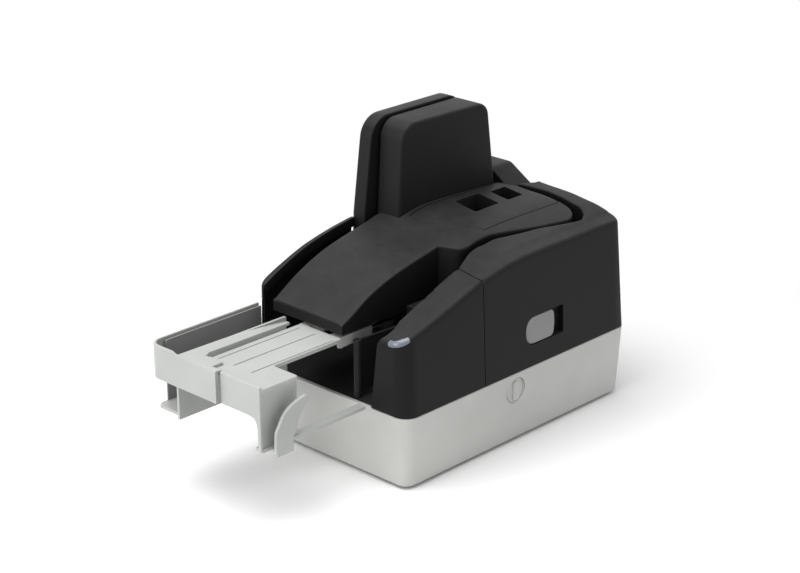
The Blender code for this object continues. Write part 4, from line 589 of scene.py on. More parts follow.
def crown(points):
    """Height of the crowned top at plan points."""
    points = np.array(points, dtype=float)
    table = np.array(CROWN_HEIGHTS)
    along = np.array([through(CROWN_ROWS, np.repeat(table[:, [index]], len(points), axis=1), points[:, 1])
                      for index in range(len(CROWN_STATIONS))])
    return through(CROWN_STATIONS, along, points[:, 0])


print("crown at the middle:", round(float(crown([(0, 100)])[0]), 1), "mm")


# %% Draft of the walls
REAR_CORNER = 3.6
REAR_ROUNDING = 5.6
LEANS = {"right": (48.5, 5.3), "left": (-54.0, 3.0), "rear": (190.0, 5.0)}
NOSE_ROLL = 7.6
ROLL_LOW = 46.0
ROLL_RISE = 44.0
ROLL_PLACE = (54.0, 19.0)
ROLL_FADE = 17.0
ROLL_POWER = 3.2


def rounder(x, y, share):
    """The rear right corner's round grows as the cover rises; points near it draw in with it."""
    radius = REAR_CORNER + REAR_ROUNDING * share
    out = Vector((x - RIGHT + radius, y - REAR + radius))
    if min(out) <= 0:
        return x, y
    run = out.normalized()
    edge = radius / max(run)
    square = radius - REAR_CORNER
    if edge * min(run) > square:
        toward = square * (run.x + run.y)
        edge = toward + math.sqrt(max(toward ** 2 - 2 * square ** 2 + REAR_CORNER ** 2, 0))
    moved = out * radius / edge
    return RIGHT - radius + moved.x, REAR - radius + moved.y


def draft(x, y, z):
    """The covers lean in as they rise: all three outer walls, and nothing beside the path."""
    share = float(np.clip((z - SEAM_HEIGHT) / (SHOULDER_HEIGHT - SEAM_HEIGHT), 0, 1))
    x, y = rounder(x, y, share)
    right = np.clip((x - LEANS["right"][0]) / LEANS["right"][1], 0, 1)
    left = np.clip((LEANS["left"][0] - x) / LEANS["left"][1], 0, 1)
    rear = np.clip((y - LEANS["rear"][0]) / LEANS["rear"][1], 0, 1)
    return x + SIDE_LEAN * share * (left - right), y - REAR_LEAN * share * rear, z


def nose_draft(x, y, z):
    """The nose also rolls over to the right at its front left corner, above the feeder."""
    x, y, z = draft(x, y, z)
    rise = np.clip((z - ROLL_LOW) / ROLL_RISE, 0, 1.05)
    near = np.clip((ROLL_PLACE[1] - y) / ROLL_FADE, 0, 1) * np.clip((ROLL_PLACE[0] - x) / ROLL_FADE, 0, 1)
    return x + NOSE_ROLL * rise ** ROLL_POWER * near, y, z


# %% Blocks under the crown
SHOULDER_TURNS = (18, 36, 54, 72, 90)
CLEAR_SHARE = 0.3
SKIN = 1.2
LINING_GRID = 6.0


def triangles(points, loop):
    """Triangles over a closed loop of point numbers, with every other point inside it used."""
    made = delaunay_2d_cdt([Vector(point) for point in points], [], [loop], 1, 1e-4)
    source = [group[0] for group in made[3]]
    return [tuple(source[corner] for corner in face) for face in made[2]]


def shoulder_rows(line, radius, outline):
    """Points beside a run, where its shoulder bends down."""
    rows = []
    for degrees in SHOULDER_TURNS:
        reach = radius * (1 - math.cos(math.radians(degrees)))
        row = []
        for before, here, after in zip([line[0]] + line, line, line[1:] + [line[-1]]):
            run = Vector(after) - Vector(before)
            row.append(tuple(Vector(here) + Vector((-run.y, run.x)).normalized() * reach))
        good = (distance_to(row, line) > reach * FOLD) & inside(row, outline)
        rows += [point for point, keep in zip(row, good) if keep]
    return rows


def cover_block(runs, low, drop=0.0, grid=3.5, bend=draft):
    """A block from low up to the crown; runs is a list of (points, shoulder radius)."""
    outline = [point for points, radius in runs for point in points]
    lines = [list(points) + [runs[(index + 1) % len(runs)][0][0]]
             for index, (points, radius) in enumerate(runs)]
    extra = []
    for line, (points, radius) in zip(lines, runs):
        if radius:
            extra += shoulder_rows(line, radius, outline)
    spread = np.array(outline)
    field = [(x, y) for x in np.arange(spread[:, 0].min(), spread[:, 0].max(), grid)
             for y in np.arange(spread[:, 1].min(), spread[:, 1].max(), grid)]
    clear = inside(field, outline)
    for line, (points, radius) in zip(lines, runs):
        clear &= distance_to(field, line) > radius + grid * CLEAR_SHARE
    plan = outline + extra + [place for place, keep in zip(field, clear) if keep]
    height = crown(plan) - drop
    for line, (points, radius) in zip(lines, runs):
        if radius:
            near = np.clip(radius - distance_to(plan, line), 0, radius)
            height = np.minimum(height, crown(plan) - drop - radius + np.sqrt(radius ** 2 - near ** 2))
    places = [(x, y, z) for (x, y), z in zip(plan, height)]
    count = len(outline)
    faces = triangles(plan, list(range(count)))
    for level in (lambda z: z - SKIN, lambda z: low):
        places += [(x, y, level(z)) for x, y, z in places[:count]]
    total = len(plan)
    for index in range(count):
        after = (index + 1) % count
        for upper, lower in ((0, total), (total, total + count)):
            faces.append((upper + after, upper + index, lower + index, lower + after))
    faces += [tuple(total + count + corner for corner in reversed(face))
              for face in triangles(outline, list(range(count)))]
    return solid([bend(*place) for place in places], faces)


# %% Solids, and what is cut from them
def solid(places, faces):
    """An object from machine places and faces, with its faces turned outwards."""
    bm = bmesh.new()
    corners = [bm.verts.new(to_frame(place)) for place in places]
    for face in faces:
        bm.faces.new([corners[index] for index in face])
    loose = [corner for corner in bm.verts if not corner.link_faces]
    bmesh.ops.delete(bm, geom=loose, context="VERTS")
    bmesh.ops.recalc_face_normals(bm, faces=bm.faces)
    mesh = bpy.data.meshes.new("solid")
    bm.to_mesh(mesh)
    bm.free()
    thing = bpy.data.objects.new("solid", mesh)
    bpy.context.scene.collection.objects.link(thing)
    return thing


def stack(rings):
    """A solid through rings of places, all with the same count, closed by flat ends."""
    count = len(rings[0])
    places = [place for ring in rings for place in ring]
    faces = [tuple(reversed(range(count))), tuple(range(len(places) - count, len(places)))]
    for level in range(len(rings) - 1):
        for index in range(count):
            after = (index + 1) % count
            faces.append((level * count + index, level * count + after,
                          (level + 1) * count + after, (level + 1) * count + index))
    return solid(places, faces)


AXES = {"x": lambda u, v, w: (w, u, v), "y": lambda u, v, w: (u, w, v), "z": lambda u, v, w: (u, v, w)}


def moulding(outline, axis, low, high, low_round=0.0, high_round=0.0, bend=None, steps=4):
    """An outline drawn along an axis, with its ends' edges rounded."""
    levels = []
    for end, radius, way in ((low, low_round, 1), (high, high_round, -1)):
        turns = range(steps + 1) if radius else (steps,)
        part = [(radius * (1 - math.sin(math.pi / 2 * turn_no / steps)),
                 end + way * radius * (1 - math.cos(math.pi / 2 * turn_no / steps))) for turn_no in turns]
        levels += part if way > 0 else list(reversed(part))
    rings = []
    for inward, place in levels:
        ring = offset_all(outline, inward)
        rings.append([AXES[axis](u, v, place) for u, v in ring])
    if bend:
        rings = [[bend(*place) for place in ring] for ring in rings]
    return stack(rings)


def block(low, high):
    """A plain tool between two corners, used only to cut or to add ribs."""
    outline = [(low[0], low[1]), (high[0], low[1]), (high[0], high[1]), (low[0], high[1])]
    return moulding(outline, "z", low[2], high[2])


def bar(axis, centre, radius, low, high, sides=40):
    """A round bar along an axis."""
    return moulding(arc(centre, radius, 0, 360, sides)[:-1], axis, low, high)


def work(target, kind, tools):
    """Cut tools from the target, add them, or keep what they share."""
    for tool in tools:
        step = target.modifiers.new(kind, "BOOLEAN")
        step.operation = kind
        step.solver = "EXACT"
        step.object = tool
        bpy.context.view_layer.update()
        mesh = bpy.data.meshes.new_from_object(target.evaluated_get(bpy.context.evaluated_depsgraph_get()))
        target.modifiers.clear()
        target.data = mesh
        bpy.data.objects.remove(tool, do_unlink=True)
    return target


def cut(target, *tools):
    """The target without the tools."""
    return work(target, "DIFFERENCE", tools)


def add(target, *tools):
    """The target and the tools in one."""
    return work(target, "UNION", tools)


def keep(target, *tools):
    """What the target and each tool share."""
    return work(target, "INTERSECT", tools)


# %% Turning a solid into a piece
SMOOTH_TO = math.radians(28)


def finished(thing, name, body, slot, *nodes, edge=NODE_BEVEL):
    """Name a remodelled piece, give it its finish and body, and hide the CAD nodes it stands for."""
    thing.name = name
    thing.data.name = name
    thing.data.materials.clear()
    thing.data.materials.append(FINISHES[slot])
    thing.data.shade_smooth()
    thing.data.set_sharp_from_angle(angle=SMOOTH_TO)
    if edge:
        soften(thing, edge)
    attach(thing, body)
    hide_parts(*nodes)
    print(name, "has", len(thing.data.polygons), "faces")
    return thing


# %% [markdown]
# ## Outer walls
# From above, the machine is a long rectangle with four different corners. One run of points goes
# round it, and each cover takes its own stretch, so that neighbours share exactly one wall line.

# %% Wall lines
WALL = 2.0
SHOULDER = 3.0
PATH_EDGE = 0.9
SEAM_EDGE = 0.3
FRONT_CORNER = 9.5
LEFT_CORNER = 12.5
NOSE_SEAM_RIGHT = 68.6
NOSE_SEAM_LEFT = 71.4
HALF_SEAM = 0.3
MORE = 4.0

front_corner = arc((RIGHT - FRONT_CORNER, FRONT + FRONT_CORNER), FRONT_CORNER, 270, 360, 14)
rear_corner = arc((RIGHT - REAR_CORNER, REAR - REAR_CORNER), REAR_CORNER, 0, 90, 8)
print("body from", LEFT, "to", RIGHT, "and", FRONT, "to", REAR, "mm")

# %% [markdown]
# ## Nose cover
# The black nose stands outside the feeder throat at the front right. Its top slopes down to the
# front, its front right corner is a wide round, and its front left corner rolls over so that
# the feeder opens wide beside it. Two windows in its inner wall let the pick and feed rollers reach out.

# %% Nose cover
NOSE_INNER = ((38.2, NOSE_SEAM_LEFT - HALF_SEAM), (40.0, 38.0), (41.0, 19.0), (40.0, 12.0), (37.5, 6.0))
NOSE_TIP = (35.3, FRONT)
FEED_PLACES = ((47.5, 28.0), (46.0, 58.0))
FEED_REACH = 8.8
FEED_LOW = 49.5
FEED_HIGH = 78.5


def nose_runs(inward=0.0):
    """The nose's outer wall, rear seam and inner wall; moved inwards, they are one plain loop."""
    outer = fill_in([NOSE_TIP, front_corner[0]]) + front_corner[1:-1]
    outer += fill_in([front_corner[-1], (RIGHT, NOSE_SEAM_RIGHT - HALF_SEAM)])[:-1]
    seam = fill_in([(RIGHT, NOSE_SEAM_RIGHT - HALF_SEAM), NOSE_INNER[0]])[:-1]
    inner = flow(NOSE_INNER + (NOSE_TIP,))[:-1]
    if inward:
        return [(shrink(outer + seam + inner, inward), 0.0)]
    return [(outer, SHOULDER), (seam, SEAM_EDGE), (inner, PATH_EDGE)]


nose = cover_block(nose_runs(), SEAM_HEIGHT, bend=nose_draft)
cut(nose, cover_block(nose_runs(WALL), SEAM_HEIGHT - MORE, WALL, LINING_GRID, nose_draft))
cut(nose, *[bar("z", place, FEED_REACH, FEED_LOW, FEED_HIGH) for place in FEED_PLACES])

# %% [markdown]
# ## Status light
# A milky window wraps the front right corner of the nose, like a thin smile. The nose gets a slot
# of the same shape, and the window fills it up to the wall's own surface.

# %% Status light
LIGHT_SPINE = ((50.4, 88.3), (54.0, 88.5), (57.5, 89.2), (60.5, 90.2), (63.5, 91.6))
LIGHT_HALF = 1.7
LIGHT_DEPTH = 3.0
LIGHT_GAP = 0.15


def light_outline(half):
    """A banana round its spine, in (length along the wall, height)."""
    spine = [Vector(place) for place in flow(LIGHT_SPINE, 4)]
    sides = []
    for before, here, after in zip([spine[0]] + spine, spine, spine[1:] + [spine[-1]]):
        run = (after - before).normalized()
        sides.append(Vector((run.y, -run.x)))
    lower = [tuple(here + side * half) for here, side in zip(spine, sides)]
    upper = [tuple(here - side * half) for here, side in zip(spine, sides)]
    tips = []
    for here, side in ((spine[-1], sides[-1]), (spine[0], -sides[0])):
        tips.append([tuple(here + Matrix.Rotation(math.pi * part / 8, 2) @ side * half)
                     for part in range(1, 8)])
    return lower + tips[0] + list(reversed(upper)) + tips[1]


def round_the_corner(length, depth, height):
    """A place at a length along the front wall and on round the corner, at a depth in the wall."""
    straight = RIGHT - FRONT_CORNER
    if length <= straight:
        return draft(length, FRONT + depth, height)
    angle = (length - straight) / FRONT_CORNER
    reach = FRONT_CORNER - depth
    return draft(straight + reach * math.sin(angle), FRONT + FRONT_CORNER - reach * math.cos(angle), height)


def light_solid(half, proud, depth):
    """The banana outline drawn into the wall."""
    outline = light_outline(half)
    return stack([[round_the_corner(length, place, height) for length, height in outline]
                  for place in (-proud, depth)])


cut(nose, light_solid(LIGHT_HALF + LIGHT_GAP, WALL, LIGHT_DEPTH + LIGHT_GAP))
finished(nose, "nose_shell", "housing", "black_plastic", "nose_cover")
light = light_solid(LIGHT_HALF, WALL, LIGHT_DEPTH)
keep(light, cover_block(nose_runs(), SEAM_HEIGHT, bend=nose_draft))
finished(light, "status_window", "housing", "light_plastic", "status_light", edge=0.2)

# %% [markdown]
# ## Access cover
# The tall cover on the right and rear swings open on a pin, to clear a jam. Its inner wall
# is the outer side of the path, so it carries the sprung idler rollers on small shelves.

# %% Access cover
HINGE = (-6.0, 192.5)
KNUCKLE = 4.5
KNUCKLE_TOP = 122.0
PIN_HOLE = 1.9
PIN_TOP = 116.3
OUTER_PATH = ((-10.6, 180.9), (-2.7, 184.7), (6.9, 186.3), (18.3, 185.8), (26.8, 185.3), (36.3, 184.2),
              (42.4, 180.6), (45.6, 176.7), (47.8, 170.0), (43.0, 152.0), (40.0, 143.0), (37.2, 127.0),
              (34.7, 116.0), (33.0, 108.6), (33.0, 99.5), (32.4, 94.0), (33.0, 87.0), (35.5, 79.5))
IDLERS = (((34.29, 97.42), 90), ((43.81, 142.37), 73))
SHELF = (7.0, 6.6, 2.5)
SHELF_LOWS = (46.2, 80.0)
IDLER_REACH = 4.3
AXLE_HOLE = 1.5


def access_runs(inward=0.0):
    """Front seam, outer walls, hinge side and path wall."""
    first = (38.4, NOSE_SEAM_LEFT + HALF_SEAM)
    corner = (RIGHT, NOSE_SEAM_RIGHT + HALF_SEAM)
    seam = fill_in([first, corner])[:-1]
    outer = fill_in([corner, rear_corner[0]]) + rear_corner[1:-1]
    outer += fill_in([rear_corner[-1], (HINGE[0], REAR)])[:-1]
    side = fill_in([(HINGE[0], REAR), HINGE, OUTER_PATH[0]])[:-1]
    path = flow(OUTER_PATH + (first,))[:-1]
    if inward:
        return [(shrink(seam + outer + side + path, inward), 0.0)]
    return [(seam, SEAM_EDGE), (outer, SHOULDER), (side, SEAM_EDGE), (path, PATH_EDGE)]


def turned_block(place, along, across, low, high, heading):
    """A plain rib that stands turned about the upright."""
    turn_by = Matrix.Rotation(math.radians(heading), 2)
    corners = ((-along, -across), (along, -across), (along, across), (-along, across))
    outline = [tuple(Vector(place) + turn_by @ Vector(corner) / 2) for corner in corners]
    return moulding(outline, "z", low, high)


def idler_seat(cover, place, heading):
    """Two shelves with bearing holes, and room for the idler between them."""
    along, across, thick = SHELF
    add(cover, *[turned_block(place, along, across, low, low + thick, heading) for low in SHELF_LOWS])
    cut(cover, bar("z", place, IDLER_REACH, SHELF_LOWS[0] + thick, SHELF_LOWS[1]),
        bar("z", place, AXLE_HOLE, SEAM_HEIGHT, SHELF_LOWS[1] + thick + MORE, 16))


access = cover_block(access_runs(), SEAM_HEIGHT)
cut(access, cover_block(access_runs(WALL), SEAM_HEIGHT - MORE, WALL, LINING_GRID))
add(access, bar("z", HINGE, KNUCKLE, SEAM_HEIGHT + SEAM_EDGE, KNUCKLE_TOP))
cut(access, bar("z", HINGE, PIN_HOLE, SEAM_HEIGHT - MORE, PIN_TOP, 20))
for place, heading in IDLERS:
    idler_seat(access, place, heading)

# %% [markdown]
# ## Release button
# A light grey button sits in a dark pocket in the side. It slides back into the free part of the
# pocket and lets the cover go. Its front end is a wide curve and its rear end is nearly straight.

# %% Pocket and button
BUTTON = ((106.6, 58.1, 7.0), (131.0, 58.1, 3.2), (132.0, 66.7, 18.0), (131.0, 75.3, 3.2), (106.6, 75.3, 7.0),
          (105.6, 66.7, 16.0))
POCKET = ((106.6, 58.1, 7.0), (139.4, 58.1, 0.6), (139.4, 75.3, 0.6), (106.6, 75.3, 7.0), (105.6, 66.7, 16.0))
POCKET_FLOOR = 58.4
POCKET_BACK = 56.4
BUTTON_FACE = 62.3
STEM = (115.9, 121.9, 63.7, 69.7)
TRAVEL = 6.0
GAP = 0.3
POCKET_GAP = 0.45
POCKET_BOX = ((POCKET_BACK, 102.0, 54.2), (61.2, 141.6, 79.2))

add(access, block(*POCKET_BOX))
cut(access, moulding(offset_all(rounded(POCKET), -POCKET_GAP), "x", POCKET_FLOOR, RIGHT + MORE))
cut(access, block((POCKET_BACK - MORE, STEM[0] - GAP, STEM[2] - GAP),
                  (RIGHT, STEM[1] + TRAVEL + GAP, STEM[3] + GAP)))
finished(access, "access_shell", "access_door", "black_plastic", "access_cover")

button = moulding(rounded(BUTTON), "x", POCKET_FLOOR + GAP, BUTTON_FACE, high_round=0.7)
add(button, block((POCKET_BACK - 3.0, STEM[0], STEM[2]), (POCKET_FLOOR + 0.5, STEM[1], STEM[3])))
finished(button, "side_button", "release_button", "grey_plastic", "release_button", edge=0.15)

# %% [markdown]
# ## Left cover and centre island
# On the left only a thin wall and a narrow strip stand outside the path. The centre island carries
# the top of the machine; its edges are the inner walls of the path. A lid in it hides the stamp
# cartridge, and two wells in the lid take the fingertips.

# %% Left cover
STRIP_EDGE = -54.0
STRIP_REAR = 78.5
STRIP_EDGES = (1.6, 0.5)
STRIP_GRID = 2.0
LIP = 6.0
THIN = 1.8
COVER_CORNER = 6.5
MOUTH = (-57.4, 4.6, 87.0)


def left_runs(inward=0.0, beyond=0.0):
    """Outer wall with its front round, and the plain edge beside the channel."""
    centre = (LEFT + COVER_CORNER, FRONT + COVER_CORNER)
    inner = STRIP_EDGE + beyond
    sweep = math.degrees(math.acos((LEFT + COVER_CORNER - inner) / (COVER_CORNER - inward)))
    front = arc(centre, COVER_CORNER - inward, 180, 180 + sweep, 12)
    outer = fill_in([(LEFT + inward, STRIP_REAR + beyond), front[0]])[:-1] + front[:-1]
    edge = fill_in([front[-1], (inner, STRIP_REAR + beyond)])[:-1]
    rear = fill_in([(inner, STRIP_REAR + beyond), (LEFT + inward, STRIP_REAR + beyond)])[:-1]
    wide, narrow = (0.0, 0.0) if inward else STRIP_EDGES
    return [(outer, wide), (edge, narrow), (rear, 0.0)]


def strip_draft(x, y, z):
    """Only the outer wall leans; the edge beside the channel stays upright."""
    share = np.clip((z - SEAM_HEIGHT) / (SHOULDER_HEIGHT - SEAM_HEIGHT), 0, 1)
    return x + SIDE_LEAN * share * np.clip((STRIP_EDGE - x) / (STRIP_EDGE - LEFT), 0, 1), y, z


left = cover_block(left_runs(), SEAM_HEIGHT, grid=STRIP_GRID, bend=strip_draft)
cut(left, cover_block(left_runs(THIN, MORE), SEAM_HEIGHT - MORE, LIP, LINING_GRID, strip_draft))
cut(left, block((MOUTH[0], FRONT - MORE, 0), (STRIP_EDGE + MORE, MOUTH[1], MOUTH[2])))
finished(left, "left_shell", "housing", "black_plastic", "left_cover")

# %% Centre island
ISLAND_LOW = 84.5
ISLAND_LEFT = -41.7
ISLAND_FRONT = -1.5
ISLAND_EDGE = 1.0
THROAT = 15.6
SLAB_FRONT = 87.5
LID_GAP = 0.5
LID_REAR = 174.0
LID_CORNER = (-19.8, 171.2)
SLAB_FOOT = ((-20.3, 171.7), (-24.5, SLAB_FRONT))
NOTCH = ((THROAT, 79.0), (17.6, 80.2), (25.2, 83.9), (27.9, 87.0), (28.8, 91.4))
INNER_PATH = ((28.8, 91.4), (28.2, 98.7), (28.5, 109.3), (29.7, 114.9), (33.6, 127.8), (38.6, 144.5),
              (42.7, 160.9), (43.4, 166.8), (40.7, 172.7), (35.7, 177.0), (29.7, 179.1), (24.2, 179.6),
              (12.1, 180.2), (1.8, 179.5), (-8.3, 178.4), (-12.5, 176.2))
LID_SEAM = ((-20.0, 92.1), (-8.6, 92.9), (7.2, 102.9), (17.2, 108.6), (23.0, 111.5))
LID_SIDE = ((23.0, 111.5), (22.8, 129.6), (23.5, 153.7), (25.2, 179.0))


def island_runs(inward=0.0):
    """Left edge, front apron, throat wall, path wall and the foot of the slab."""
    left_side = fill_in([(ISLAND_LEFT, SLAB_FRONT), (ISLAND_LEFT, ISLAND_FRONT)])[:-1]
    front = fill_in([(ISLAND_LEFT, ISLAND_FRONT), (THROAT, ISLAND_FRONT)])[:-1]
    throat = fill_in([(THROAT, ISLAND_FRONT), NOTCH[0]])[:-1] + flow(NOTCH)[:-1]
    path = flow(INNER_PATH)[:-1]
    foot = fill_in([INNER_PATH[-1], SLAB_FOOT[0], SLAB_FOOT[1], (ISLAND_LEFT, SLAB_FRONT)])[:-1]
    if inward:
        return [(shrink(left_side + front + throat + path + foot, inward), 0.0)]
    return [(left_side, ISLAND_EDGE), (front, ISLAND_EDGE), (throat, PATH_EDGE), (path, PATH_EDGE),
            (foot, 0.0)]


def lid_outline():
    """The lid's seam on the island, closed along the path and the slab."""
    rear = [(x, y - PATH_EDGE) for x, y in flow(INNER_PATH) if y > LID_REAR and x < LID_SIDE[-1][0]]
    return flow(LID_SEAM)[:-1] + flow(LID_SIDE)[:-1] + rear + [LID_CORNER]


island = cover_block(island_runs(), ISLAND_LOW)
cut(island, cover_block(island_runs(WALL), ISLAND_LOW - MORE, WALL, LINING_GRID))
cut(island, moulding(offset_all(lid_outline(), -LID_GAP), "z", 0, SHOULDER_HEIGHT + MORE))
finished(island, "island_shell", "housing", "black_plastic", "centre_cover")

# %% Cartridge lid
WELL_WALL = 1.1
WELL_LOW = 116.5
WELLS = (((-14.0, 126.0, 1.2), (3.0, 126.0, 1.2), (3.0, 147.5, 1.2), (-14.0, 147.5, 1.2)),
         ((-12.0, 156.0, 1.2), (3.0, 156.0, 1.2), (3.0, 170.0, 1.2), (-12.0, 170.0, 1.2)))

lid_runs = [(fill_in(lid_outline() + lid_outline()[:1])[:-1], SEAM_EDGE)]
lid = cover_block(lid_runs, WELL_LOW)
wider = offset_all(lid_outline(), -MORE)
below = [(fill_in(wider + wider[:1], LINING_GRID)[:-1], 0.0)]
cut(lid, cover_block(below, WELL_LOW - MORE, WALL, LINING_GRID))
for well in WELLS:
    skirt = moulding(offset_all(rounded(well), -WELL_WALL), "z", WELL_LOW, SHOULDER_HEIGHT)
    add(lid, keep(skirt, cover_block(lid_runs, WELL_LOW, WALL / 2)))
cut(lid, *[moulding(rounded(well), "z", WELL_LOW - MORE, SHOULDER_HEIGHT + MORE) for well in WELLS])
finished(lid, "cartridge_lid", "cartridge_door", "black_plastic", "cartridge_cover")

# %% [markdown]
# ## Scanning tower
# Two upright slabs face each other across a narrow slot, and the path runs in it between
# the two sensors. Each slab is one side outline drawn sideways, with its edges rolled over. The
# outer one follows the lean of the left wall, and the inner one is thicker towards the rear.

# %% Slabs of the tower
SLOT_FACES = (-45.9, -43.7)
OUTER_SLAB = ((79.0, 44.5, 0.0), (79.2, 121.5, 0.0), (86.9, 181.5, 15.0), (164.2, 181.5, 11.5),
              (171.7, 124.3, 6.0), (176.2, 119.8, 0.0), (176.2, 44.5, 0.0))
INNER_SLAB = ((87.7, 44.5, 0.0), (87.7, 119.6, 0.0), (91.7, 180.4, 11.5), (164.0, 180.4, 8.5),
              (171.2, 124.0, 0.0), (171.2, 44.5, 0.0))
SLAB_WALL = 1.8
OUTER_ROUNDS = (3.0, 0.8)
INNER_ROUNDS = (0.8, 2.2)
INNER_FACE = -25.0
INNER_GROWS = 4.2
GROWS_FROM = 88.0
GROWS_OVER = 83.2
SENSOR_WINDOW = (119.95, 136.05, 46.2, 150.3)
WINDOW_DEEP = 2.3
WINDOW_OPEN = 0.5
DRIVE_REACH = 6.3
DRIVE_SPAN = (49.2, 80.8)
TOWER_DRIVE = (-39.0, 147.0)
TOWER_IDLER = ((-48.6, 147.0), 270)


def hollow_below(outline, amount):
    """The same side outline inside its wall, and open at the bottom."""
    inner = offset_all(outline, amount)
    return [(y, z - MORE * 2 if z < SEAM_HEIGHT + amount * 2 else z) for y, z in inner]


def thicker_behind(x, y, z):
    """The inner slab's right face runs outwards to the rear."""
    share = (x - SLOT_FACES[1]) / (INNER_FACE - SLOT_FACES[1])
    return x + INNER_GROWS * share * (y - GROWS_FROM) / GROWS_OVER, y, z


outer_side = rounded(OUTER_SLAB, 10)
outer = moulding(outer_side, "x", LEFT, SLOT_FACES[0], *OUTER_ROUNDS, draft, 5)
cut(outer, moulding(hollow_below(outer_side, SLAB_WALL), "x", LEFT + SLAB_WALL, SLOT_FACES[0] - SLAB_WALL,
                    bend=draft))
idler_seat(outer, *TOWER_IDLER)
y_low, y_high, z_low, z_high = SENSOR_WINDOW
cut(outer, block((SLOT_FACES[0] - WINDOW_DEEP, y_low, z_low), (SLOT_FACES[0] + WINDOW_OPEN, y_high, z_high)))
finished(outer, "outer_tower_shell", "housing", "black_plastic", "outer_scan_cover")

inner_side = rounded(INNER_SLAB, 10)
inner = moulding(inner_side, "x", SLOT_FACES[1], INNER_FACE, *INNER_ROUNDS, thicker_behind, 5)
cut(inner, moulding(hollow_below(inner_side, SLAB_WALL), "x", SLOT_FACES[1] + SLAB_WALL,
                    INNER_FACE - SLAB_WALL, bend=thicker_behind))
cut(inner, block((SLOT_FACES[1] - WINDOW_OPEN, y_low, z_low), (SLOT_FACES[1] + WINDOW_DEEP, y_high, z_high)),
    bar("z", TOWER_DRIVE, DRIVE_REACH, *DRIVE_SPAN, 24))
finished(inner, "inner_tower_shell", "housing", "black_plastic", "inner_scan_cover")

# %% Rear fairing
FAIRING_TOP = ((-12.5, 44.5, 0.0), (-12.5, 121.8, 2.5), (-30.0, 132.9, 7.0), (-50.5, 132.9, 6.0),
               (-57.0, 127.5, 5.0), (LEFT, 114.0, 5.0), (LEFT, 44.5, 0.0))
FAIRING_FRONT = 176.8
FAIRING_ROUNDS = (1.0, 3.0)

fairing_side = rounded(FAIRING_TOP, 8)
fairing = moulding(fairing_side, "y", FAIRING_FRONT, REAR, *FAIRING_ROUNDS, draft, 5)
cut(fairing, moulding(hollow_below(fairing_side, WALL), "y", FAIRING_FRONT + WALL, REAR - WALL, bend=draft))
finished(fairing, "rear_fairing", "housing", "black_plastic", "rear_cover")

# %% [markdown]
# ## Base
# The base is one light grey tub. Its walls lean in towards the desk, its corners match the covers,
# and a small round at its top edge catches a thin line of light along the whole seam.

# %% Base tub
TUB_RINGS = ((1.3, 0.0), (0.5, 0.3), (0.1, 0.9), (0.0, 1.8), (0.0, 43.5), (0.12, 43.85), (0.5, TUB_TOP))
TUB_WALL = 2.5
SHELF_HEIGHT = 40.2
SCREWS = ((LEFT + 8.8, 20.0), (RIGHT - 8.8, 20.0), (LEFT + 8.8, 177.6), (RIGHT - 8.8, 177.6))
SCREW_POST = (4.0, 2.3, 22.0)
SCREW_HOLE = (1.8, -MORE, 26.0)
KNOB = (96.7, 32.8)
KNOB_RADIUS = 7.75
KNOB_DEPTH = 1.4
KNOB_GAP = 0.45
KNOB_HOLE = 2.8
KNOB_HOLE_DEEP = 12.0
SOCKETS = ((34.0, 15.0, 16.0), (-38.0, 10.0, 11.0), (-12.0, 12.0, 11.0))
SOCKET_LOW = 9.9
SOCKET_CORNER = 0.8
SOCKET_FRONT = 184.5


def body_ring(inward, height):
    """The whole plan outline at a height, moved inwards."""
    corners = ((LEFT, FRONT, LEFT_CORNER, 1, 1, 180), (RIGHT, FRONT, FRONT_CORNER, -1, 1, 270),
               (RIGHT, REAR, REAR_CORNER, -1, -1, 0), (LEFT, REAR, REAR_CORNER, 1, -1, 90))
    ring = []
    for x, y, radius, side, end, start in corners:
        small = max(radius - inward, 1.0)
        centre = (x + side * (inward + small), y + end * (inward + small))
        ring += arc(centre, small, start, start + 90, 12)
    return [(x, y, height) for x, y in ring]


def wall_inset(height):
    """How far the base's wall has leaned in at a height."""
    return BASE_INSET * (1 - height / TUB_TOP)


tub = stack([body_ring(wall_inset(height) + extra, height) for extra, height in TUB_RINGS])
inner_wall = BASE_INSET + TUB_WALL
cut(tub, stack([body_ring(inner_wall, height) for height in (-MORE, TUB_TOP + MORE)]),
    stack([body_ring(TUB_WALL, height) for height in (SHELF_HEIGHT, TUB_TOP + MORE)]))
for x, y in SCREWS:
    add(tub, bar("z", (x, y), *SCREW_POST, 24))
    cut(tub, bar("z", (x, y), *SCREW_HOLE, 16))
for low_x, width, height in SOCKETS:
    opening = box_outline((low_x - GAP, SOCKET_LOW - GAP), (low_x + width + GAP, SOCKET_LOW + height + GAP),
                          SOCKET_CORNER)
    cut(tub, moulding(opening, "y", SOCKET_FRONT, REAR + MORE))
knob_face = RIGHT - wall_inset(KNOB[1])
cut(tub, bar("x", KNOB, KNOB_RADIUS + KNOB_GAP, knob_face - KNOB_DEPTH, RIGHT + MORE, 64),
    bar("x", KNOB, KNOB_HOLE, knob_face - KNOB_HOLE_DEEP, RIGHT + MORE, 24))
finished(tub, "base_shell", "housing", "base_plastic", "base_tub")

# %% Lock knob
GRIP_WIDTH = 5.2
GRIP_HALF = 6.3
GRIP_PROUD = 0.6
GRIP_FOOT = 0.6
RIM = 0.9
DISH = 0.6
FACE_DROP = 0.5
SHAFT = 2.5
CAM = (54.5, 57.7, 7.0)

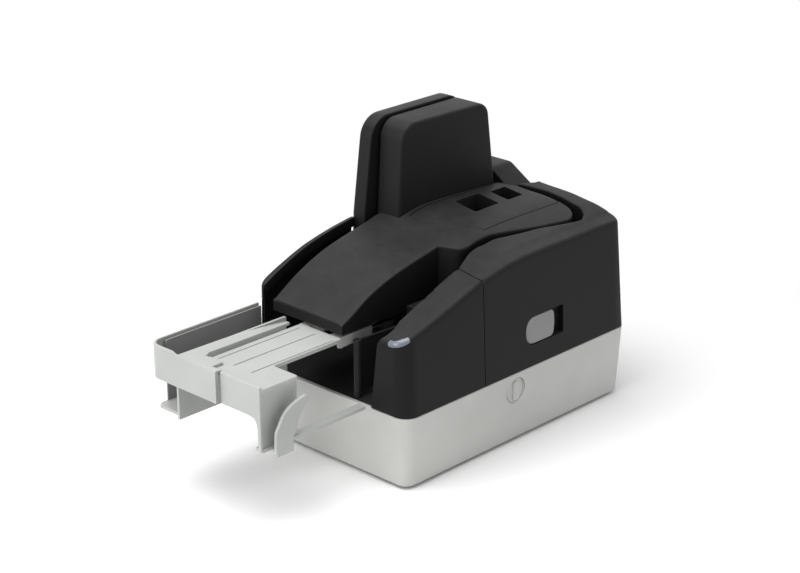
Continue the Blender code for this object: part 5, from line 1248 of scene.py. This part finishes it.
knob = bar("x", KNOB, KNOB_RADIUS, knob_face - KNOB_DEPTH + GAP, knob_face - FACE_DROP, 64)
ring = moulding(arc(KNOB, KNOB_RADIUS, 0, 360, 64)[:-1], "x", knob_face - RIM, knob_face, high_round=0.35)
cut(ring, bar("x", KNOB, KNOB_RADIUS - RIM, knob_face - DISH, RIGHT, 64))
grip_half = GRIP_WIDTH / 2
tip = grip_half - 0.02
grip_outline = rounded(((KNOB[0] - grip_half, KNOB[1] - GRIP_HALF, GRIP_FOOT),
                        (KNOB[0] + grip_half, KNOB[1] - GRIP_HALF, GRIP_FOOT),
                        (KNOB[0] + grip_half, KNOB[1] + GRIP_HALF, tip),
                        (KNOB[0] - grip_half, KNOB[1] + GRIP_HALF, tip)), 10)
grip = moulding(grip_outline, "x", knob_face - KNOB_DEPTH + 0.4, knob_face + GRIP_PROUD, high_round=0.8)
shaft = bar("x", KNOB, SHAFT, CAM[0] - GAP, knob_face - DISH, 24)
cam = block((CAM[0], KNOB[0], KNOB[1] - SHAFT), (CAM[1], KNOB[0] + CAM[2], KNOB[1] + SHAFT))
add(knob, ring, grip, shaft, cam)
finished(knob, "turn_knob", "lock_knob", "base_plastic", "lock_knob", edge=0.12)

# %% [markdown]
# ## Tray drawer
# Both trays are one light grey drawer that slides out of the front. The left one is a deep pocket
# inside a bent wall, where the path ends. The right one is a flat table with a deep apron at its
# front, and a hooked finger stands beside it as the stop of the feeder.

# %% Eject tray
TRAY_LEFT = -56.8
TRAY_FRONT = -85.0
TRAY_BEND = 9.0
BEND_FAR = (49.5, 60.0)
BAND = (64.7, 85.3)
BAND_WALL = 1.7
BAND_END = 1.4
RIB = 1.25
RIB_TOP = 84.3
TRAY_REAR = -1.0
TRAY_FLOOR = (44.5, 46.5)
FLOOR_FRONT = -81.2
POCKET_WALL = (-33.1, -31.5)
STRIP_TOP = 83.8
STRIP_THICK = 1.7
STRIP_PLAN = ((-32.8, -84.2), (0.9, -84.2), (0.9, -80.0), (-6.5, -80.0), (-6.5, -72.4), (-21.2, -72.4),
              (-21.2, -69.8), (-22.4, -69.2), (-22.0, -7.0), (-24.4, -7.0), (-27.6, -19.0), (-30.4, -34.0),
              (-32.0, -50.0))
RIM_DROP = ((-39.0, 86.2), (-33.0, 84.3), (-29.0, 84.1), (6.0, 84.1), (6.0, 90.0), (-39.0, 90.0))


def u_outline(inward):
    """The bent wall's plan: straight at the rear, round at both front corners, moved inwards."""
    near = (TRAY_LEFT + inward, TRAY_FRONT + inward)
    far = (BEND_FAR[0] - inward, BEND_FAR[1] - inward)
    return box_outline(near, far, TRAY_BEND - inward, 16)


band = moulding(u_outline(0), "z", BAND[0], BAND[1], 0.5, 0.6)
cut(band, moulding(u_outline(BAND_WALL), "z", 0, BAND[1] + MORE))
keep(band, block((TRAY_LEFT - MORE, TRAY_FRONT - MORE, 0), (BAND_END, TRAY_REAR, SHOULDER_HEIGHT)))
cut(band, moulding(RIM_DROP, "y", TRAY_FRONT - MORE, FLOOR_FRONT))
tray_floor = moulding(u_outline(BAND_WALL + 0.5), "z", TRAY_FLOOR[0], TRAY_FLOOR[1], 0.4, 0.4)
keep(tray_floor, block((TRAY_LEFT, FLOOR_FRONT, 0), (POCKET_WALL[1], TRAY_REAR, SHOULDER_HEIGHT)))
pocket_wall = block((POCKET_WALL[0], TRAY_FRONT + 0.8, TRAY_FLOOR[0]),
                    (POCKET_WALL[1], TRAY_REAR, STRIP_TOP - 0.9))
strip = moulding(fill_in(STRIP_PLAN + STRIP_PLAN[:1], 12)[:-1], "z", STRIP_TOP - STRIP_THICK, STRIP_TOP,
                 high_round=0.35)
end_rib = moulding(arc((BAND_END - 1.2, TRAY_FRONT + RIB), RIB, 0, 360, 20)[:-1], "z", BAND[0] + 0.2, RIB_TOP,
                   high_round=0.5)
add(band, pocket_wall, tray_floor, strip, end_rib)
finished(band, "eject_pocket", "tray_drawer", "tray_plastic", "eject_tray", edge=0.35)

# %% Feed tray
TABLE_TOP = 82.3
TABLE_THICK = 2.3
TABLE = ((-20.6, -72.0, 0.6), (-6.0, -72.0, 0.5), (-6.0, -79.5, 0.6), (3.0, -79.5, 0.4), (3.0, -81.9, 0.6),
         (34.8, -81.9, 1.8), (34.8, -54.0, 1.5), (15.0, -54.0, 1.5), (15.0, -1.0, 0.6), (-18.8, -1.0, 0.6),
         (-18.8, -69.4, 0.4), (-20.6, -69.4, 0.6))
APRON_TOP = ((2.5, 83.7), (34.3, 83.7))
APRON_FOOT = (34.3, 44.9)
APRON_CURVE = ((32.9, 44.9), (32.2, 48.0), (31.9, 52.0), (31.7, 57.0), (31.2, 60.6), (29.8, 63.2),
               (27.0, 64.5), (21.0, 64.7), (10.0, 64.7), (2.5, 64.7))
APRON_Y = (-82.4, -80.6)
LEG_SIDE = (31.8, 33.4)
FEED_FLOOR = (29.0, 34.5)
HOOK = ((-75.9, 42.3), (-77.0, 45.0), (-76.8, 55.6), (-74.7, 60.0), (-70.7, 66.0), (-65.9, 69.6),
        (-60.0, 71.7), (-55.4, 72.9), (-52.9, 72.2), (-52.2, 70.2), (-53.6, 68.2), (-57.0, 64.6),
        (-60.2, 60.0), (-62.8, 54.6), (-64.0, 50.0), (-64.0, 44.0), (-65.3, 42.3))
HOOK_SIDES = (38.8, 41.2)
HOOK_ROOT = (-75.8, -66.0)
LINES = (-14.3, -1.2, 13.4)
LINE_RUN = (-69.0, -6.0)
LINE_HALF = 0.4
LINE_DEEP = 0.7
ARMS = (((-18.8, -2.0, 80.0), (-12.0, 25.0, 82.3)), ((-13.4, -2.0, 76.0), (-12.0, 25.0, 81.8)),
        ((5.5, -2.0, 80.0), (13.5, 25.0, 82.3)), ((12.1, -2.0, 76.0), (13.5, 25.0, 81.8)))

table = moulding(rounded(TABLE), "z", TABLE_TOP - TABLE_THICK, TABLE_TOP, high_round=0.4)
for middle in LINES:
    groove = box_outline((middle - LINE_HALF, LINE_RUN[0]), (middle + LINE_HALF, LINE_RUN[1]), 0.35, 4)
    cut(table, moulding(groove, "z", TABLE_TOP - LINE_DEEP, TABLE_TOP + MORE))
apron = moulding(list(APRON_TOP) + [APRON_FOOT] + flow(APRON_CURVE), "y", APRON_Y[0], APRON_Y[1], 0.4, 0.4)
leg = block((LEG_SIDE[0], APRON_Y[0] + 1.0, TRAY_FLOOR[0]), (LEG_SIDE[1], -54.0, TABLE_TOP - 1.0))
feed_floor = block((FEED_FLOOR[0], APRON_Y[0] + 1.0, TRAY_FLOOR[0]), (FEED_FLOOR[1], -2.0, TRAY_FLOOR[1]))
root = block((LEG_SIDE[0] + 0.4, HOOK_ROOT[0], TRAY_FLOOR[0]),
             (HOOK_SIDES[0] + 1.2, HOOK_ROOT[1], TRAY_FLOOR[1] - 0.5))
hook = moulding(flow(HOOK + HOOK[:1], 4)[:-1], "x", HOOK_SIDES[0], HOOK_SIDES[1], 0.7, 0.7)
add(table, apron, leg, feed_floor, root, hook)
add(table, *[block(low, high) for low, high in ARMS])
finished(table, "feed_table", "tray_drawer", "tray_plastic", "feed_tray", edge=0.3)
